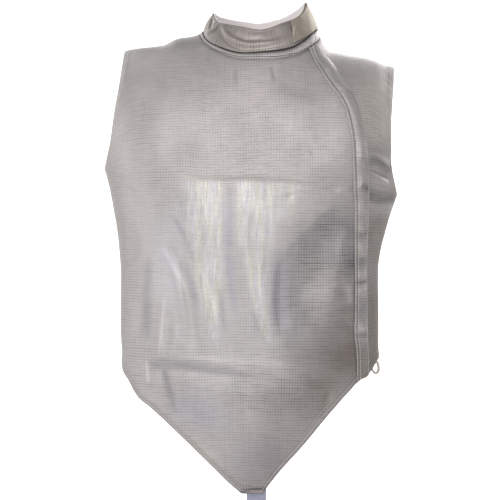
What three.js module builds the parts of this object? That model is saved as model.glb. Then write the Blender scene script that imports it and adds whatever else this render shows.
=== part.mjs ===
// Fencing lame: the sleeveless conductive over-jacket of a foil fencer, filled out as it is worn.
// Millimetres, +Z up. The front faces -Y and the wearer's left is +X.
// The origin is the middle of the shoulder line, where the wearer's shoulders carry the garment.
import * as THREE from "three";

// ---------- driving sizes ----------
const clothWall = 1.5; // two layers of metallised cloth
const seamGap = 0.3; // clearance between neighbouring pieces
const shoulderDrop = { front: 1.9, back: 3.0 }; // roundness of the shoulders, fore and aft

// The torso below the armholes, one row for each section. Each section is a rounded oblong, a little
// lower on one side than the other. front and back are its depths before and behind the side seams.
const torsoSections = [
  { at: 1, zRight: -184, zLeft: -219, halfRight: 215.5, halfLeft: 206, front: 122, back: 113, square: 2.5 },
  { at: 2, zRight: -240, zLeft: -262, halfRight: 202.5, halfLeft: 192, front: 124, back: 110, square: 2.6 },
  { at: 3, zRight: -326, zLeft: -326, halfRight: 192.5, halfLeft: 179, front: 119, back: 101, square: 2.8 },
  { at: 4, zRight: -400, zLeft: -400, halfRight: 192.5, halfLeft: 179, front: 115, back: 103, square: 2.9 },
  { at: 5, zRight: -462, zLeft: -462, halfRight: 190.5, halfLeft: 179, front: 112, back: 109, square: 2.9 },
  { at: 6, zRight: -530, zLeft: -530, halfRight: 190.5, halfLeft: 179, front: 100, back: 112, square: 2.8 },
  { at: 7, zRight: -650, zLeft: -650, halfRight: 190.5, halfLeft: 179, front: 63, back: 112, square: 2.6 },
];

// The shoulders, from the shoulder line (0) down to the foot of the armholes (1). half is the width of
// the form there, and armhole is how far out the armhole's edge lies. Right and left are the wearer's.
const shoulderSections = [
  { at: 0, halfRight: 226, halfLeft: 230, armholeRight: 186.5, armholeLeft: 198.5 },
  { at: 0.12, halfRight: 226, halfLeft: 230, armholeRight: 187, armholeLeft: 202 },
  { at: 0.33, halfRight: 226, halfLeft: 229, armholeRight: 188.5, armholeLeft: 199.5 },
  { at: 0.5, halfRight: 226, halfLeft: 226, armholeRight: 191.5, armholeLeft: 196 },
  { at: 0.67, halfRight: 225, halfLeft: 221, armholeRight: 197.5, armholeLeft: 193 },
  { at: 0.83, halfRight: 222, halfLeft: 214, armholeRight: 203, armholeLeft: 193 },
  { at: 0.92, halfRight: 219, halfLeft: 210, armholeRight: 209, armholeLeft: 198 },
  { at: 1, halfRight: 215.5, halfLeft: 206, armholeRight: 215.5, armholeLeft: 206 },
];

// The height of the shoulder line across the garment. fold is the height of the soft fold that lies
// along it over the wearer's right shoulder, and dies away by foldReach on the way down.
const foldReach = 0.26;
const shoulderLine = [
  { x: -230, z: -26, fold: 0 },
  { x: -187, z: -9, fold: 0 },
  { x: -160, z: -4, fold: 0 },
  { x: -133, z: -1, fold: 0 },
  { x: -122, z: 0, fold: 4.5 },
  { x: -112, z: 1, fold: 8 },
  { x: -102, z: 2, fold: 9 },
  { x: -84, z: 4, fold: 8 },
  { x: -60, z: 6, fold: 5 },
  { x: 8, z: 10, fold: 0 },
  { x: 40, z: 8, fold: 0 },
  { x: 78, z: 1, fold: 0 },
  { x: 106, z: -8, fold: 0 },
  { x: 132, z: -13.5, fold: 0 },
  { x: 161, z: -18.5, fold: 0 },
  { x: 175, z: -22, fold: 0 },
  { x: 188, z: -27.5, fold: 0 },
  { x: 200, z: -31.5, fold: 0 },
  { x: 230, z: -43, fold: 0 },
];

// The closing line down the wearer's left front, from the shoulder (0) to the hem, and half the width
// of the flap that covers it.
const closingLine = [
  { at: 0, x: 84, flap: 14 },
  { at: 0.1, x: 84.5, flap: 14 },
  { at: 0.2, x: 87, flap: 13.5 },
  { at: 0.26, x: 91.5, flap: 13.2 },
  { at: 0.33, x: 99.5, flap: 13 },
  { at: 0.42, x: 110, flap: 12.2 },
  { at: 0.48, x: 119.5, flap: 11.5 },
  { at: 0.53, x: 128.3, flap: 11 },
  { at: 0.6, x: 137, flap: 10.8 },
  { at: 0.67, x: 141.3, flap: 10.8 },
  { at: 0.77, x: 146, flap: 11.5 },
  { at: 0.92, x: 148, flap: 12 },
  { at: 1, x: 148.5, flap: 12 },
  { at: 1.4, x: 149.5, flap: 12 },
  { at: 2.8, x: 148.5, flap: 11.5 },
  { at: 4, x: 149.5, flap: 11.5 },
  { at: 5, x: 151.5, flap: 11 },
  { at: 7, x: 153, flap: 11 },
];

// The lower edge of the front: the wearer's right hip, the point, and the left hip.
const frontHem = [
  { x: -200, z: -452 },
  { x: -190, z: -461 },
  { x: -187, z: -468 },
  { x: -177, z: -481 },
  { x: -170, z: -493 },
  { x: -161, z: -505 },
  { x: -145, z: -517 },
  { x: -112, z: -547 },
  { x: -67, z: -592 },
  { x: -23, z: -635.5 },
  { x: -17, z: -639.5 },
  { x: 12, z: -639.5 },
  { x: 17, z: -632 },
  { x: 34, z: -609 },
  { x: 67, z: -571 },
  { x: 100, z: -530 },
  { x: 134, z: -492 },
  { x: 148, z: -478 },
  { x: 158, z: -473.5 },
  { x: 164, z: -467 },
  { x: 170, z: -459 },
  { x: 176, z: -453 },
  { x: 200, z: -449 },
];
const backHem = [
  { x: -200, z: -460 },
  { x: -160, z: -464 },
  { x: 0, z: -463 },
  { x: 150, z: -458 },
  { x: 200, z: -451 },
];

const neck = { x: 8.5, halfWidth: 81.5, front: 62, back: 58, square: 2.4, riseWidth: 0.32 };

// Round the neck by angle: 0 is the throat, 90 the wearer's left. rise is how far the panels turn up
// to meet the collar, and rim is the height of the collar's top edge.
const neckTurns = [
  { turn: -180, rise: 3, rim: 38.5 },
  { turn: -150, rise: 4, rim: 42 },
  { turn: -120, rise: 6, rim: 44.5 },
  { turn: -90, rise: 7, rim: 47 },
  { turn: -75, rise: 4, rim: 37.5 },
  { turn: -60, rise: 3, rim: 29.5 },
  { turn: -45, rise: 3.6, rim: 25.5 },
  { turn: -20, rise: 2.2, rim: 19.5 },
  { turn: 0, rise: 4.6, rim: 15 },
  { turn: 30, rise: 9.3, rim: 26 },
  { turn: 45, rise: 15.6, rim: 32 },
  { turn: 60, rise: 21.4, rim: 40 },
  { turn: 75, rise: 23.2, rim: 51 },
  { turn: 90, rise: 23.5, rim: 62 },
  { turn: 105, rise: 20, rim: 60 },
  { turn: 120, rise: 15, rim: 56 },
  { turn: 135, rise: 10, rim: 50.5 },
  { turn: 150, rise: 6, rim: 45 },
  { turn: 180, rise: 3, rim: 38.5 },
];
// The collar's rim is an oval about its own middle. seat and lift set its foot out from the neck seam
// and above it, gap parts its layers, and belly is how far the stand bows out half way up.
const collar = {
  x: 7.5,
  halfWidth: 67,
  front: 53,
  back: 54,
  wall: 1.8,
  seat: 1.5,
  lift: 0.8,
  gap: 0.4,
  belly: 1.5,
};
const collarLining = 1.0;
const collarSplit = 92; // where the two ends of the collar meet, in line with the closing
const splitHalf = 0.2; // degrees left clear either side of the split

// The overlap that fastens the collar, between two turns. Its lower edge lies at freeFoot of the
// collar's height on its free end, and falls to foot where it levels out.
const collarTab = { from: 40, level: 66, to: 112, foot: 0.1, freeFoot: 0.24, wall: 1.4 };

const flap = { wall: 1.2, clear: 0.4, firstRow: 1 }; // covers the zip
const zip = { chainHalf: 2.5, tape: 1.0, chain: 2.0, clear: 0.4, firstRow: 1 };

const strap = {
  x: 3,
  width: 27,
  wall: 1.6,
  clear: 0.7,
  sewnIn: 16, // overlap inside the point and inside the back hem
  steps: 44,
  // the free run between the wearer's legs, fore and aft
  run: [
    { y: -51, z: -664 },
    { y: -32, z: -688 },
    { y: -2, z: -699 },
    { y: 30, z: -692 },
    { y: 60, z: -667 },
    { y: 84, z: -622 },
    { y: 99, z: -560 },
    { y: 105.5, z: -500 },
  ],
};

const hipLoop = {
  diameter: 3.2,
  steps: 28,
  sides: 8,
  // hangs inside the hem at the wearer's left hip, both ends sewn in
  route: [
    [172.8, 5.5, -442],
    [172.8, 5.4, -446],
    [173, 5.2, -450],
    [174, 5, -454],
    [176.4, 4.7, -457.8],
    [179.2, 4.3, -461.6],
    [180.6, 3.7, -466],
    [180.8, 3, -470.4],
    [179.4, 2, -474.2],
    [176.4, 0.8, -475.6],
    [173.4, -0.8, -474],
    [171, -2.2, -470.6],
    [169.8, -3.4, -466.4],
    [169.8, -4.4, -462],
    [170.6, -5.2, -457.4],
    [171.6, -5.8, -452.6],
    [172.4, -6.2, -447.4],
    [172.8, -6.4, -442],
  ],
};

// Corners of the front hem, where columns of cloth end: the right hip and the sides of the point.
const hemCorners = [-161, -23, -17, 12, 17];

// Rows of cloth: a narrow row round the neck, then down the shoulders, closer at the foot of the
// armholes, and down the torso.
const rows = { neckBand: 8, leastStep: 0.03, torso: 12 };
const shoulderRows = [
  { to: 0.62, count: 5 },
  { to: 0.84, count: 2 },
  { to: 0.94, count: 1 },
  { to: 0.98, count: 1 },
  { to: 1, count: 1 },
];

// ---------- curves through the tables ----------
const rise = (a, b, key, value) => (b[value] - a[value]) / (b[key] - a[key]);

// A smooth curve through a table's rows that never overshoots them.
function through(rows, key, value) {
  const slopes = rows.map((row, i) => {
    if (i === 0) return rise(row, rows[1], key, value);
    if (i === rows.length - 1) return rise(rows[i - 1], row, key, value);
    const before = rise(rows[i - 1], row, key, value);
    const after = rise(row, rows[i + 1], key, value);
    return before * after <= 0 ? 0 : (2 * before * after) / (before + after);
  });
  return (at) => {
    let i = 0;
    while (i < rows.length - 2 && at > rows[i + 1][key]) i += 1;
    const [a, b] = [rows[i], rows[i + 1]];
    const span = b[key] - a[key];
    const t = THREE.MathUtils.clamp((at - a[key]) / span, 0, 1);
    const [t2, t3] = [t * t, t * t * t];
    return (
      a[value] * (2 * t3 - 3 * t2 + 1) +
      b[value] * (3 * t2 - 2 * t3) +
      span * (slopes[i] * (t3 - 2 * t2 + t) + slopes[i + 1] * (t3 - t2))
    );
  };
}

// A curve for every column of a table whose rows are stations down the garment.
function curvesOf(table) {
  const names = Object.keys(table[0]).filter((name) => name !== "at");
  return Object.fromEntries(names.map((name) => [name, through(table, "at", name)]));
}

const torso = curvesOf(torsoSections);
const shoulder = curvesOf(shoulderSections);
const ridge = through(shoulderLine, "x", "z");
const shoulderFold = through(shoulderLine, "x", "fold");
const closing = through(closingLine, "at", "x");
const flapHalf = through(closingLine, "at", "flap");
const hemOf = { front: through(frontHem, "x", "z"), back: through(backHem, "x", "z") };
const neckRise = through(neckTurns, "turn", "rise");
const rimHeight = through(neckTurns, "turn", "rim");

// ---------- the form that the cloth takes ----------
// at runs down the garment: 0 at the shoulder line, 1 at the foot of the armholes, 5 at the hip.
// across runs from -1 at the right side seam to 1 at the left one.
function halves(at) {
  const { halfRight, halfLeft } = at < 1 ? shoulder : torso;
  return [halfRight(at), halfLeft(at)];
}
const tiltedHeight = (at, x) => THREE.MathUtils.mapLinear(x, -200, 200, torso.zRight(at), torso.zLeft(at));

// How far the cloth turns up towards the collar, and lies up in the fold over the right shoulder.
function shoulderLift(x, y, at) {
  const [aside, ahead] = [(x - neck.x) / neck.halfWidth, -y / (y < 0 ? neck.front : neck.back)];
  const away = (Math.abs(aside) ** neck.square + Math.abs(ahead) ** neck.square) ** (1 / neck.square);
  const turn = THREE.MathUtils.radToDeg(Math.atan2(aside, ahead));
  const upturn = neckRise(turn) * Math.max(0, 1 - (away - 1) / neck.riseWidth) ** 2;
  const fold = shoulderFold(x) * (1 - THREE.MathUtils.smoothstep(at, 0, foldReach));
  return upturn + fold;
}

function formPoint(half, at, across) {
  const [right, left] = halves(at);
  const share = Math.sin((across * Math.PI) / 2);
  const x = (left - right) / 2 + ((left + right) / 2) * share;
  const way = half === "front" ? -1 : 1;
  const station = Math.max(at, 1);
  const round = torso.square(station);
  const depth = torso[half](station) * (1 - Math.abs(share) ** round) ** (1 / round);
  if (at >= 1) return new THREE.Vector3(x, way * depth, tiltedHeight(at, x));
  const turn = (Math.max(at, 0) * Math.PI) / 2;
  const power = 2 / shoulderDrop[half];
  const y = way * depth * Math.sin(turn) ** power;
  const fall = (ridge(x) - tiltedHeight(1, x)) * (1 - Math.cos(turn) ** power);
  return new THREE.Vector3(x, y, ridge(x) - fall + shoulderLift(x, y, at));
}

// The outward direction of the form, from its slopes along and across.
function formNormal(half, at, across) {
  const step = 1e-4;
  const station = Math.max(at, step);
  const place = THREE.MathUtils.clamp(across, -1 + step, 1 - step);
  const down = formPoint(half, station + step, across).sub(formPoint(half, station - step, across));
  const over = formPoint(half, station, place + step).sub(formPoint(half, station, place - step));
  const normal = half === "front" ? down.cross(over) : over.cross(down);
  return normal.normalize();
}

// A point of the cloth: on the form, moved out by so many millimetres, and clear of the side seams.
function clothPoint(half, at, across, out) {
  const point = formPoint(half, at, across).addScaledVector(formNormal(half, at, across), out);
  point.y += ((half === "front" ? -1 : 1) * seamGap) / 2;
  return point;
}

function acrossOf(at, x) {
  const [right, left] = halves(at);
  const share = (x - (left - right) / 2) / ((left + right) / 2);
  return Math.asin(THREE.MathUtils.clamp(share, -1, 1)) / (Math.PI / 2);
}

// How far down the shoulders the neck seam lies at x, or a line that runs grow outside it.
function neckStation(half, x, across, grow = 0) {
  const aside = Math.abs(x - neck.x) / (neck.halfWidth + grow);
  if (aside >= 1) return 0;
  const reach = (neck[half] + grow) * (1 - aside ** neck.square) ** (1 / neck.square);
  const depth = Math.abs(formPoint(half, 1, across).y);
  return Math.asin(Math.min(1, (reach / depth) ** (shoulderDrop[half] / 2))) / (Math.PI / 2);
}

// How far down the torso the hem lies, found by halving.
function hemEnd(half, across) {
  let [low, high] = [1, 7];
  for (let pass = 0; pass < 40; pass += 1) {
    const middle = (low + high) / 2;
    const point = formPoint(half, middle, across);
    if (point.z > hemOf[half](point.x)) low = middle;
    else high = middle;
  }
  return low;
}

// ---------- rows and columns of a panel ----------
// Runs of evenly spaced values between stops.
function spread(stops, counts) {
  const values = [stops[0]];
  counts.forEach((count, i) => {
    for (let k = 1; k <= count; k += 1) values.push(THREE.MathUtils.lerp(stops[i], stops[i + 1], k / count));
  });
  return values;
}

// The outer edges of the panels: the armholes, and the side seams below them.
const rightEdge = (at) => (at >= 1 ? -1 : acrossOf(at, -shoulder.armholeRight(at)));
const leftEdge = (at) => (at >= 1 ? 1 : acrossOf(at, shoulder.armholeLeft(at)));

// The closing line, moved sideways over the cloth by so many millimetres.
function closingAcross(at, aside) {
  const middle = acrossOf(at, closing(at));
  const step = 0.002;
  const over = formPoint("front", at, middle + step).sub(formPoint("front", at, middle - step));
  const [above, below] = [Math.max(at, step) - step, Math.max(at, step) + step];
  const down = formPoint("front", below, acrossOf(below, closing(below)));
  down.sub(formPoint("front", above, acrossOf(above, closing(above)))).normalize();
  return middle + (aside * 2 * step) / over.cross(down).length();
}

// Where a column crosses the neck seam, or a line that runs grow outside it.
function neckCrossing(half, acrossAt, grow) {
  let at = 0;
  for (let pass = 0; pass < 20; pass += 1) {
    const across = acrossAt(at);
    at = (at + neckStation(half, formPoint(half, at, across).x, across, grow)) / 2;
  }
  return at < 1e-3 ? 0 : at;
}

// The stations of one column, from its top edge down to the hem. acrossAt gives its course.
function columnStations(half, acrossAt) {
  const top = neckCrossing(half, acrossAt, 0);
  const band = Math.max(neckCrossing(half, acrossAt, rows.neckBand), top + rows.leastStep);
  let hem = 5;
  for (let pass = 0; pass < 30; pass += 1) hem = (hem + hemEnd(half, acrossAt(hem))) / 2;
  const [stops, counts] = [shoulderRows.map(({ to }) => to), shoulderRows.map(({ count }) => count)];
  return spread([top, band, ...stops, hem], [1, ...counts, rows.torso]);
}

const columnOf = (half, acrossAt) => ({ half, acrossAt, stations: columnStations(half, acrossAt) });

// A column between two edges of a panel. Its share of the width changes from top to hem.
const betweenEdges = (first, last, topShare, hemShare) => (at) => {
  const share = THREE.MathUtils.lerp(topShare, hemShare, THREE.MathUtils.smoothstep(at, 0, 5));
  return THREE.MathUtils.lerp(first(at), last(at), share);
};

function columnsBetween(half, first, last, topXs, hemXs) {
  const shares = (at, xs) => xs.map((x) => THREE.MathUtils.inverseLerp(first(at), last(at), acrossOf(at, x)));
  const [tops, hems] = [shares(0, topXs), shares(5, hemXs)];
  return tops.map((top, i) => columnOf(half, betweenEdges(first, last, top, hems[i])));
}

const flapEdge = (side) => (at) => closingAcross(at, side * flapHalf(at));

// Columns on and beside the closing line. Below the neck seam they share their stations, so that the
// facets of the pieces that meet there line up.
const closingStations = columnStations("front", (at) => closingAcross(at, 0)).slice(1);
function beside(aside) {
  const acrossAt = (at) => closingAcross(at, aside);
  return { half: "front", acrossAt, stations: [neckCrossing("front", acrossAt, 0), ...closingStations] };
}
const closingColumns = (side) => [beside(side * zip.chainHalf), beside((side * seamGap) / 2)];

const xOfEdge = (edge, at) => formPoint("front", at, edge(at)).x;
const [tipRight, tipLeft] = [xOfEdge(rightEdge, 0), xOfEdge(leftEdge, 0)];
const [hipRight, hipLeft] = [xOfEdge(rightEdge, 5), xOfEdge(leftEdge, 5)];
const flapTop = [xOfEdge(flapEdge(-1), 0), xOfEdge(flapEdge(1), 0)];
const flapHem = [xOfEdge(flapEdge(-1), 5), xOfEdge(flapEdge(1), 5)];
const neckRight = neck.x - neck.halfWidth;
const neckLeft = neck.x + neck.halfWidth;

// Columns start closer together where the neck seam turns away, and end closer at the point.
const neckXs = (count) =>
  spread([0, Math.PI], [count]).map((turn) => neck.x - neck.halfWidth * Math.cos(turn));
const underFlap = 4; // the last columns of the neck lie beyond the flap's edge
const frontTops = [
  ...spread([tipRight, neckRight], [8]).slice(0, -1),
  ...neckXs(20).slice(0, -underFlap),
  flapTop[0],
];
const frontHems = spread([hipRight, ...hemCorners, flapHem[0]], [4, 8, 1, 2, 1, 9]);
const frontColumns = [
  ...columnsBetween("front", rightEdge, flapEdge(-1), frontTops, frontHems),
  ...closingColumns(-1),
];

const sideTops = spread([flapTop[1], tipLeft], [6]);
const sideHems = spread([flapHem[1], hipLeft], [6]);
const sideColumns = [
  ...closingColumns(1).reverse(),
  ...columnsBetween("front", flapEdge(1), leftEdge, sideTops, sideHems),
];

const sideTurn = 39; // width of the stretch where the back curves round to each side seam
const backTops = [
  ...spread([tipRight, neckRight], [7]).slice(0, -1),
  ...neckXs(14),
  ...spread([neckLeft, tipLeft], [7]).slice(1),
];
const backHems = spread([hipRight, hipRight + sideTurn, hipLeft - sideTurn, hipLeft], [6, 16, 6]);
const backColumns = columnsBetween("back", rightEdge, leftEdge, backTops, backHems);

// ---------- closed walls ----------
// Joins two grids of points, an outer and an inner, into one closed solid.
function wallBetween(outer, inner) {
  const [down, over] = [outer.length, outer[0].length];
  const points = [...outer.flat(), ...inner.flat()];
  const at = (layer, i, j) => layer * down * over + i * over + j;
  const faces = [];
  const quad = (a, b, c, d) => faces.push(a, b, c, a, c, d);
  for (let i = 0; i < down - 1; i += 1) {
    for (let j = 0; j < over - 1; j += 1) {
      quad(at(0, i, j), at(0, i + 1, j), at(0, i + 1, j + 1), at(0, i, j + 1));
      quad(at(1, i, j), at(1, i, j + 1), at(1, i + 1, j + 1), at(1, i + 1, j));
    }
    quad(at(0, i, 0), at(1, i, 0), at(1, i + 1, 0), at(0, i + 1, 0));
    quad(at(0, i, over - 1), at(0, i + 1, over - 1), at(1, i + 1, over - 1), at(1, i, over - 1));
  }
  for (let j = 0; j < over - 1; j += 1) {
    quad(at(0, 0, j), at(0, 0, j + 1), at(1, 0, j + 1), at(1, 0, j));
    quad(at(0, down - 1, j), at(1, down - 1, j), at(1, down - 1, j + 1), at(0, down - 1, j + 1));
  }
  return closedGeometry(points, faces);
}

// Makes the geometry, turned so that its faces point outwards.
function closedGeometry(points, faces) {
  let volume = 0;
  for (let i = 0; i < faces.length; i += 3) {
    const [a, b, c] = [points[faces[i]], points[faces[i + 1]], points[faces[i + 2]]];
    volume += a.dot(new THREE.Vector3().crossVectors(b, c));
  }
  const index = volume < 0 ? faces.slice().reverse() : faces;
  const geometry = new THREE.BufferGeometry().setFromPoints(points);
  geometry.setIndex(index);
  geometry.computeVertexNormals();
  return geometry;
}

// Rows of cloth points under the given columns, from one row to another, moved out.
function gridOf(columns, out, firstRow = 0, rowsLeft = 0) {
  const grid = [];
  for (let row = firstRow; row < columns[0].stations.length - rowsLeft; row += 1) {
    const pointOf = ({ half, acrossAt, stations }) => {
      const at = stations[row];
      return clothPoint(half, at, acrossAt(at), out);
    };
    grid.push(columns.map(pointOf));
  }
  return grid;
}

const panel = (columns) => wallBetween(gridOf(columns, 0), gridOf(columns, -clothWall));

// ---------- pieces on the closing line ----------
const stripColumns = [
  frontColumns[frontColumns.length - 3],
  frontColumns[frontColumns.length - 2],
  beside(0),
  sideColumns[1],
  sideColumns[2],
];

const flapGeometry = () =>
  wallBetween(
    gridOf(stripColumns, flap.clear + flap.wall, flap.firstRow),
    gridOf(stripColumns, flap.clear, flap.firstRow),
  );

// The tapes lie flat inside the panels, and end a row above the hem. The chain is the thicker rib
// down their middle.
function zipGeometry() {
  const face = -(clothWall + zip.clear);
  const outer = gridOf(stripColumns, face, zip.firstRow, 1);
  const tape = gridOf(stripColumns, face - zip.tape, zip.firstRow, 1);
  const chain = gridOf(stripColumns, face - zip.chain, zip.firstRow, 1);
  return wallBetween(outer, tape.map((row, i) => row.map((point, j) => (j === 2 ? chain[i][j] : point))));
}

// ---------- collar ----------
// A point of the collar's foot, which stands just over the neck seam. grow moves it out from the neck.
function footPoint(turn, grow) {
  const half = Math.abs(turn) <= 90 ? "front" : "back";
  const radians = THREE.MathUtils.degToRad(turn);
  const [aside, ahead] = [Math.sin(radians), Math.cos(radians)];
  const size = (Math.abs(aside) ** neck.square + Math.abs(ahead) ** neck.square) ** (-1 / neck.square);
  const seamX = neck.x + neck.halfWidth * aside * size;
  const at = neckStation(half, seamX, acrossOf(0, seamX));
  const seam = formPoint(half, at, acrossOf(at, seamX));
  return new THREE.Vector3(seam.x + grow * aside, seam.y - grow * ahead, seam.z + collar.lift);
}

// A point of the collar's face: height 0 is its seat, 1 its rim. out moves it away from the neck.
function collarPoint(turn, height, out) {
  const radians = THREE.MathUtils.degToRad(turn);
  const reach = Math.abs(turn) <= 90 ? collar.front : collar.back;
  const foot = footPoint(turn, collar.seat + out);
  const rim = new THREE.Vector3(
    collar.x + (collar.halfWidth + out) * Math.sin(radians),
    -(reach + out) * Math.cos(radians),
    rimHeight(turn),
  );
  const point = foot.lerp(rim, height);
  const belly = collar.belly * Math.sin(Math.PI * height);
  point.x += belly * Math.sin(radians);
  point.y -= belly * Math.cos(radians);
  return point;
}

// A band of the collar between two distances from its face. lowest gives its lower edge by turn.
function collarBand(turns, heights, outer, inner, lowest = () => 0) {
  const grid = (out) =>
    heights.map((height) => turns.map((turn) => collarPoint(turn, Math.max(height, lowest(turn)), out)));
  return wallBetween(grid(outer), grid(inner));
}

// The collar runs from its split round the nape and the throat back to the split. The tab shares its
// turns and heights, and its lower edge rises towards its free end.
const splitTurns = [collarSplit + splitHalf, collarSplit - splitHalf];
const collarTurns = [
  ...spread([splitTurns[0], collarTab.to, 180, 270, 360, 360 + collarTab.from], [2, 7, 7, 7, 5]),
  ...spread([360 + collarTab.from, 360 + splitTurns[1]], [6]).slice(1),
].map((turn) => (turn > 180 ? turn - 360 : turn));
const tabTurns = [
  ...spread([collarTab.from, splitTurns[1]], [6]),
  ...spread([splitTurns[0], collarTab.to], [2]),
];
const collarHeights = spread([0, collarTab.foot, 1], [1, 2]);
function tabLowest(turn) {
  const { from, level, foot, freeFoot } = collarTab;
  return THREE.MathUtils.mapLinear(Math.min(turn, level), from, level, freeFoot, foot);
}
const liningOuter = -collar.wall - collar.gap;

const collarGeometry = () => collarBand(collarTurns, collarHeights, 0, -collar.wall);
const liningGeometry = () => collarBand(collarTurns, collarHeights, liningOuter, liningOuter - collarLining);
const tabGeometry = () =>
  collarBand(tabTurns, collarHeights.slice(1), collar.gap + collarTab.wall, collar.gap, tabLowest);

// ---------- crotch strap ----------
function strapGeometry() {
  const behind = clothWall + strap.clear + strap.wall / 2;
  const inPanel = (half, hem, far) => {
    const across = acrossOf(5, strap.x);
    const end = hemEnd(half, across);
    const tall = formPoint(half, end - 0.5, across).distanceTo(formPoint(half, end, across)) / 0.5;
    return clothPoint(half, end - (hem + far) / tall, across, -behind);
  };
  const middle = [
    inPanel("front", strap.sewnIn, 0),
    inPanel("front", 0, 0),
    ...strap.run.map(({ y, z }) => new THREE.Vector3(strap.x, y, z)),
    inPanel("back", 0, 0),
    inPanel("back", strap.sewnIn, 0),
  ];
  middle.forEach((point) => point.setX(0));
  const line = new THREE.CatmullRomCurve3(middle, false, "centripetal");
  const side = (sign) =>
    spread([0, 1], [strap.steps]).map((share) => {
      const along = line.getTangentAt(share).multiplyScalar((sign * strap.wall) / 2);
      const point = line.getPointAt(share);
      return new THREE.Vector2(point.y - along.z, point.z + along.y);
    });
  const outline = new THREE.Shape([...side(1), ...side(-1).reverse()]);
  const geometry = new THREE.ExtrudeGeometry(outline, { depth: strap.width, bevelEnabled: false });
  geometry.translate(0, 0, -strap.width / 2);
  // the outline was drawn in Y and Z, and its depth runs along X
  geometry.applyMatrix4(new THREE.Matrix4().set(0, 0, 1, strap.x, 1, 0, 0, 0, 0, 1, 0, 0, 0, 0, 0, 1));
  return geometry;
}

// ---------- hip loop ----------
function loopGeometry() {
  const line = new THREE.CatmullRomCurve3(hipLoop.route.map((place) => new THREE.Vector3(...place)));
  const radius = hipLoop.diameter / 2;
  const section = new THREE.Shape(
    spread([0, 2 * Math.PI], [hipLoop.sides])
      .slice(0, -1)
      .map((turn) => new THREE.Vector2(radius * Math.cos(turn), radius * Math.sin(turn))),
  );
  return new THREE.ExtrudeGeometry(section, { steps: hipLoop.steps, extrudePath: line, bevelEnabled: false });
}

// ---------- the garment ----------
const finishes = {
  lame: { color: "#b0aca9", roughness: 0.5, metalness: 0.35 },
  lining: { color: "#e6e1e0", roughness: 0.9, metalness: 0 },
  zipTape: { color: "#8f8d8b", roughness: 0.8, metalness: 0 },
  elastic: { color: "#d8d9e2", roughness: 0.85, metalness: 0 },
};

const pieces = [
  { name: "front_panel", finish: "lame", geometry: panel(frontColumns) },
  { name: "left_side_panel", finish: "lame", geometry: panel(sideColumns) },
  { name: "back_panel", finish: "lame", geometry: panel(backColumns) },
  { name: "closing_flap", finish: "lame", geometry: flapGeometry() },
  { name: "zip", finish: "zipTape", geometry: zipGeometry() },
  { name: "collar", finish: "lame", geometry: collarGeometry() },
  { name: "collar_lining", finish: "lining", geometry: liningGeometry() },
  { name: "collar_tab", finish: "lame", geometry: tabGeometry() },
  { name: "crotch_strap", finish: "elastic", geometry: strapGeometry() },
  { name: "hip_loop", finish: "elastic", geometry: loopGeometry() },
];

const garment = new THREE.Group();
pieces.forEach(({ name, finish, geometry }) => {
  const mesh = new THREE.Mesh(geometry, new THREE.MeshStandardMaterial(finishes[finish]));
  mesh.name = name;
  garment.add(mesh);
});

export default garment;
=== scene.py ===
import math

import bpy
import numpy as np
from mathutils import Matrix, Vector


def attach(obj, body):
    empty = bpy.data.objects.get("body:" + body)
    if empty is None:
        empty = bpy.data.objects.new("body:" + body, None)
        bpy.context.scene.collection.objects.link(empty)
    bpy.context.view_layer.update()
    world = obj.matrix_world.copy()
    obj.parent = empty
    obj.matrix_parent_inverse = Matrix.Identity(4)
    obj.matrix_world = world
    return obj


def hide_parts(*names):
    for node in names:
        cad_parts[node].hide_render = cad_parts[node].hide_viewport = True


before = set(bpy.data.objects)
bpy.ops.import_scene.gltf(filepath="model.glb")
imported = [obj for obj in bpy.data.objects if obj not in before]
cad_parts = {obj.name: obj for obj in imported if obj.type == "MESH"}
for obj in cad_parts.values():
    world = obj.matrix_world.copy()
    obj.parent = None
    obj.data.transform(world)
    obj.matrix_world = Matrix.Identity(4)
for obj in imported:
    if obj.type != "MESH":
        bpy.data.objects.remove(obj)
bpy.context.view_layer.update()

# A fencing lame as it is worn: sleeveless over-jacket of silver-grey metallised cloth.
# Tables and shapes are in millimetres, front towards -Y, the wearer's left at +X.
# The meshes are turned to metres when they are made.
mm = 0.001
scene = bpy.context.scene


def addObject(name, data):
    thing = bpy.data.objects.new(name, data)
    scene.collection.objects.link(thing)
    return thing


cameraSetup = dict(place=(-6, -2300, -297), lens=114.2, sensor=36)  # level, square on to the chest

cameraData = bpy.data.cameras.new("camera")
cameraData.lens = cameraSetup["lens"]
cameraData.sensor_width = cameraSetup["sensor"]
camera = addObject("camera", cameraData)
camera.location = [value * mm for value in cameraSetup["place"]]
camera.rotation_euler = (math.radians(90), 0, 0)
scene.camera = camera
scene.view_settings.view_transform = "Standard"
print("camera ready")


def linear(hexColour):  # an sRGB hex colour as linear values
    parts = [int(hexColour[i:i + 2], 16) / 255 for i in (1, 3, 5)]
    return [c / 12.92 if c <= 0.04045 else ((c + 0.055) / 1.055) ** 2.4 for c in parts] + [1]


def add(tree, kind, inputs=None, **settings):
    # adds a node with its settings, values and links: a node given as an input stands for the
    # first of its outputs in use, and a kind is a shader's unless its name says another
    node = tree.nodes.new(kind if "Node" in kind else "ShaderNode" + kind)
    for name, value in settings.items():
        setattr(node, name, value)
    for socket, value in (inputs or {}).items():
        if isinstance(value, bpy.types.Node):
            value = next(output for output in value.outputs if output.enabled)
        if isinstance(value, bpy.types.NodeSocket):
            tree.links.new(value, node.inputs[socket])
        else:
            node.inputs[socket].default_value = value
    return node


def smoothstep(value, low, high):
    t = np.clip((value - low) / (high - low), 0, 1)
    return t * t * (3 - 2 * t)


def bell(value, middle, width):  # 1 at the middle, and falling away softly on both sides
    return np.exp(-((value - middle) / width) ** 2)


def unit(vectors):  # the same directions, each of length one
    return vectors / np.maximum(np.linalg.norm(vectors, axis=-1, keepdims=True), 1e-9)


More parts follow.
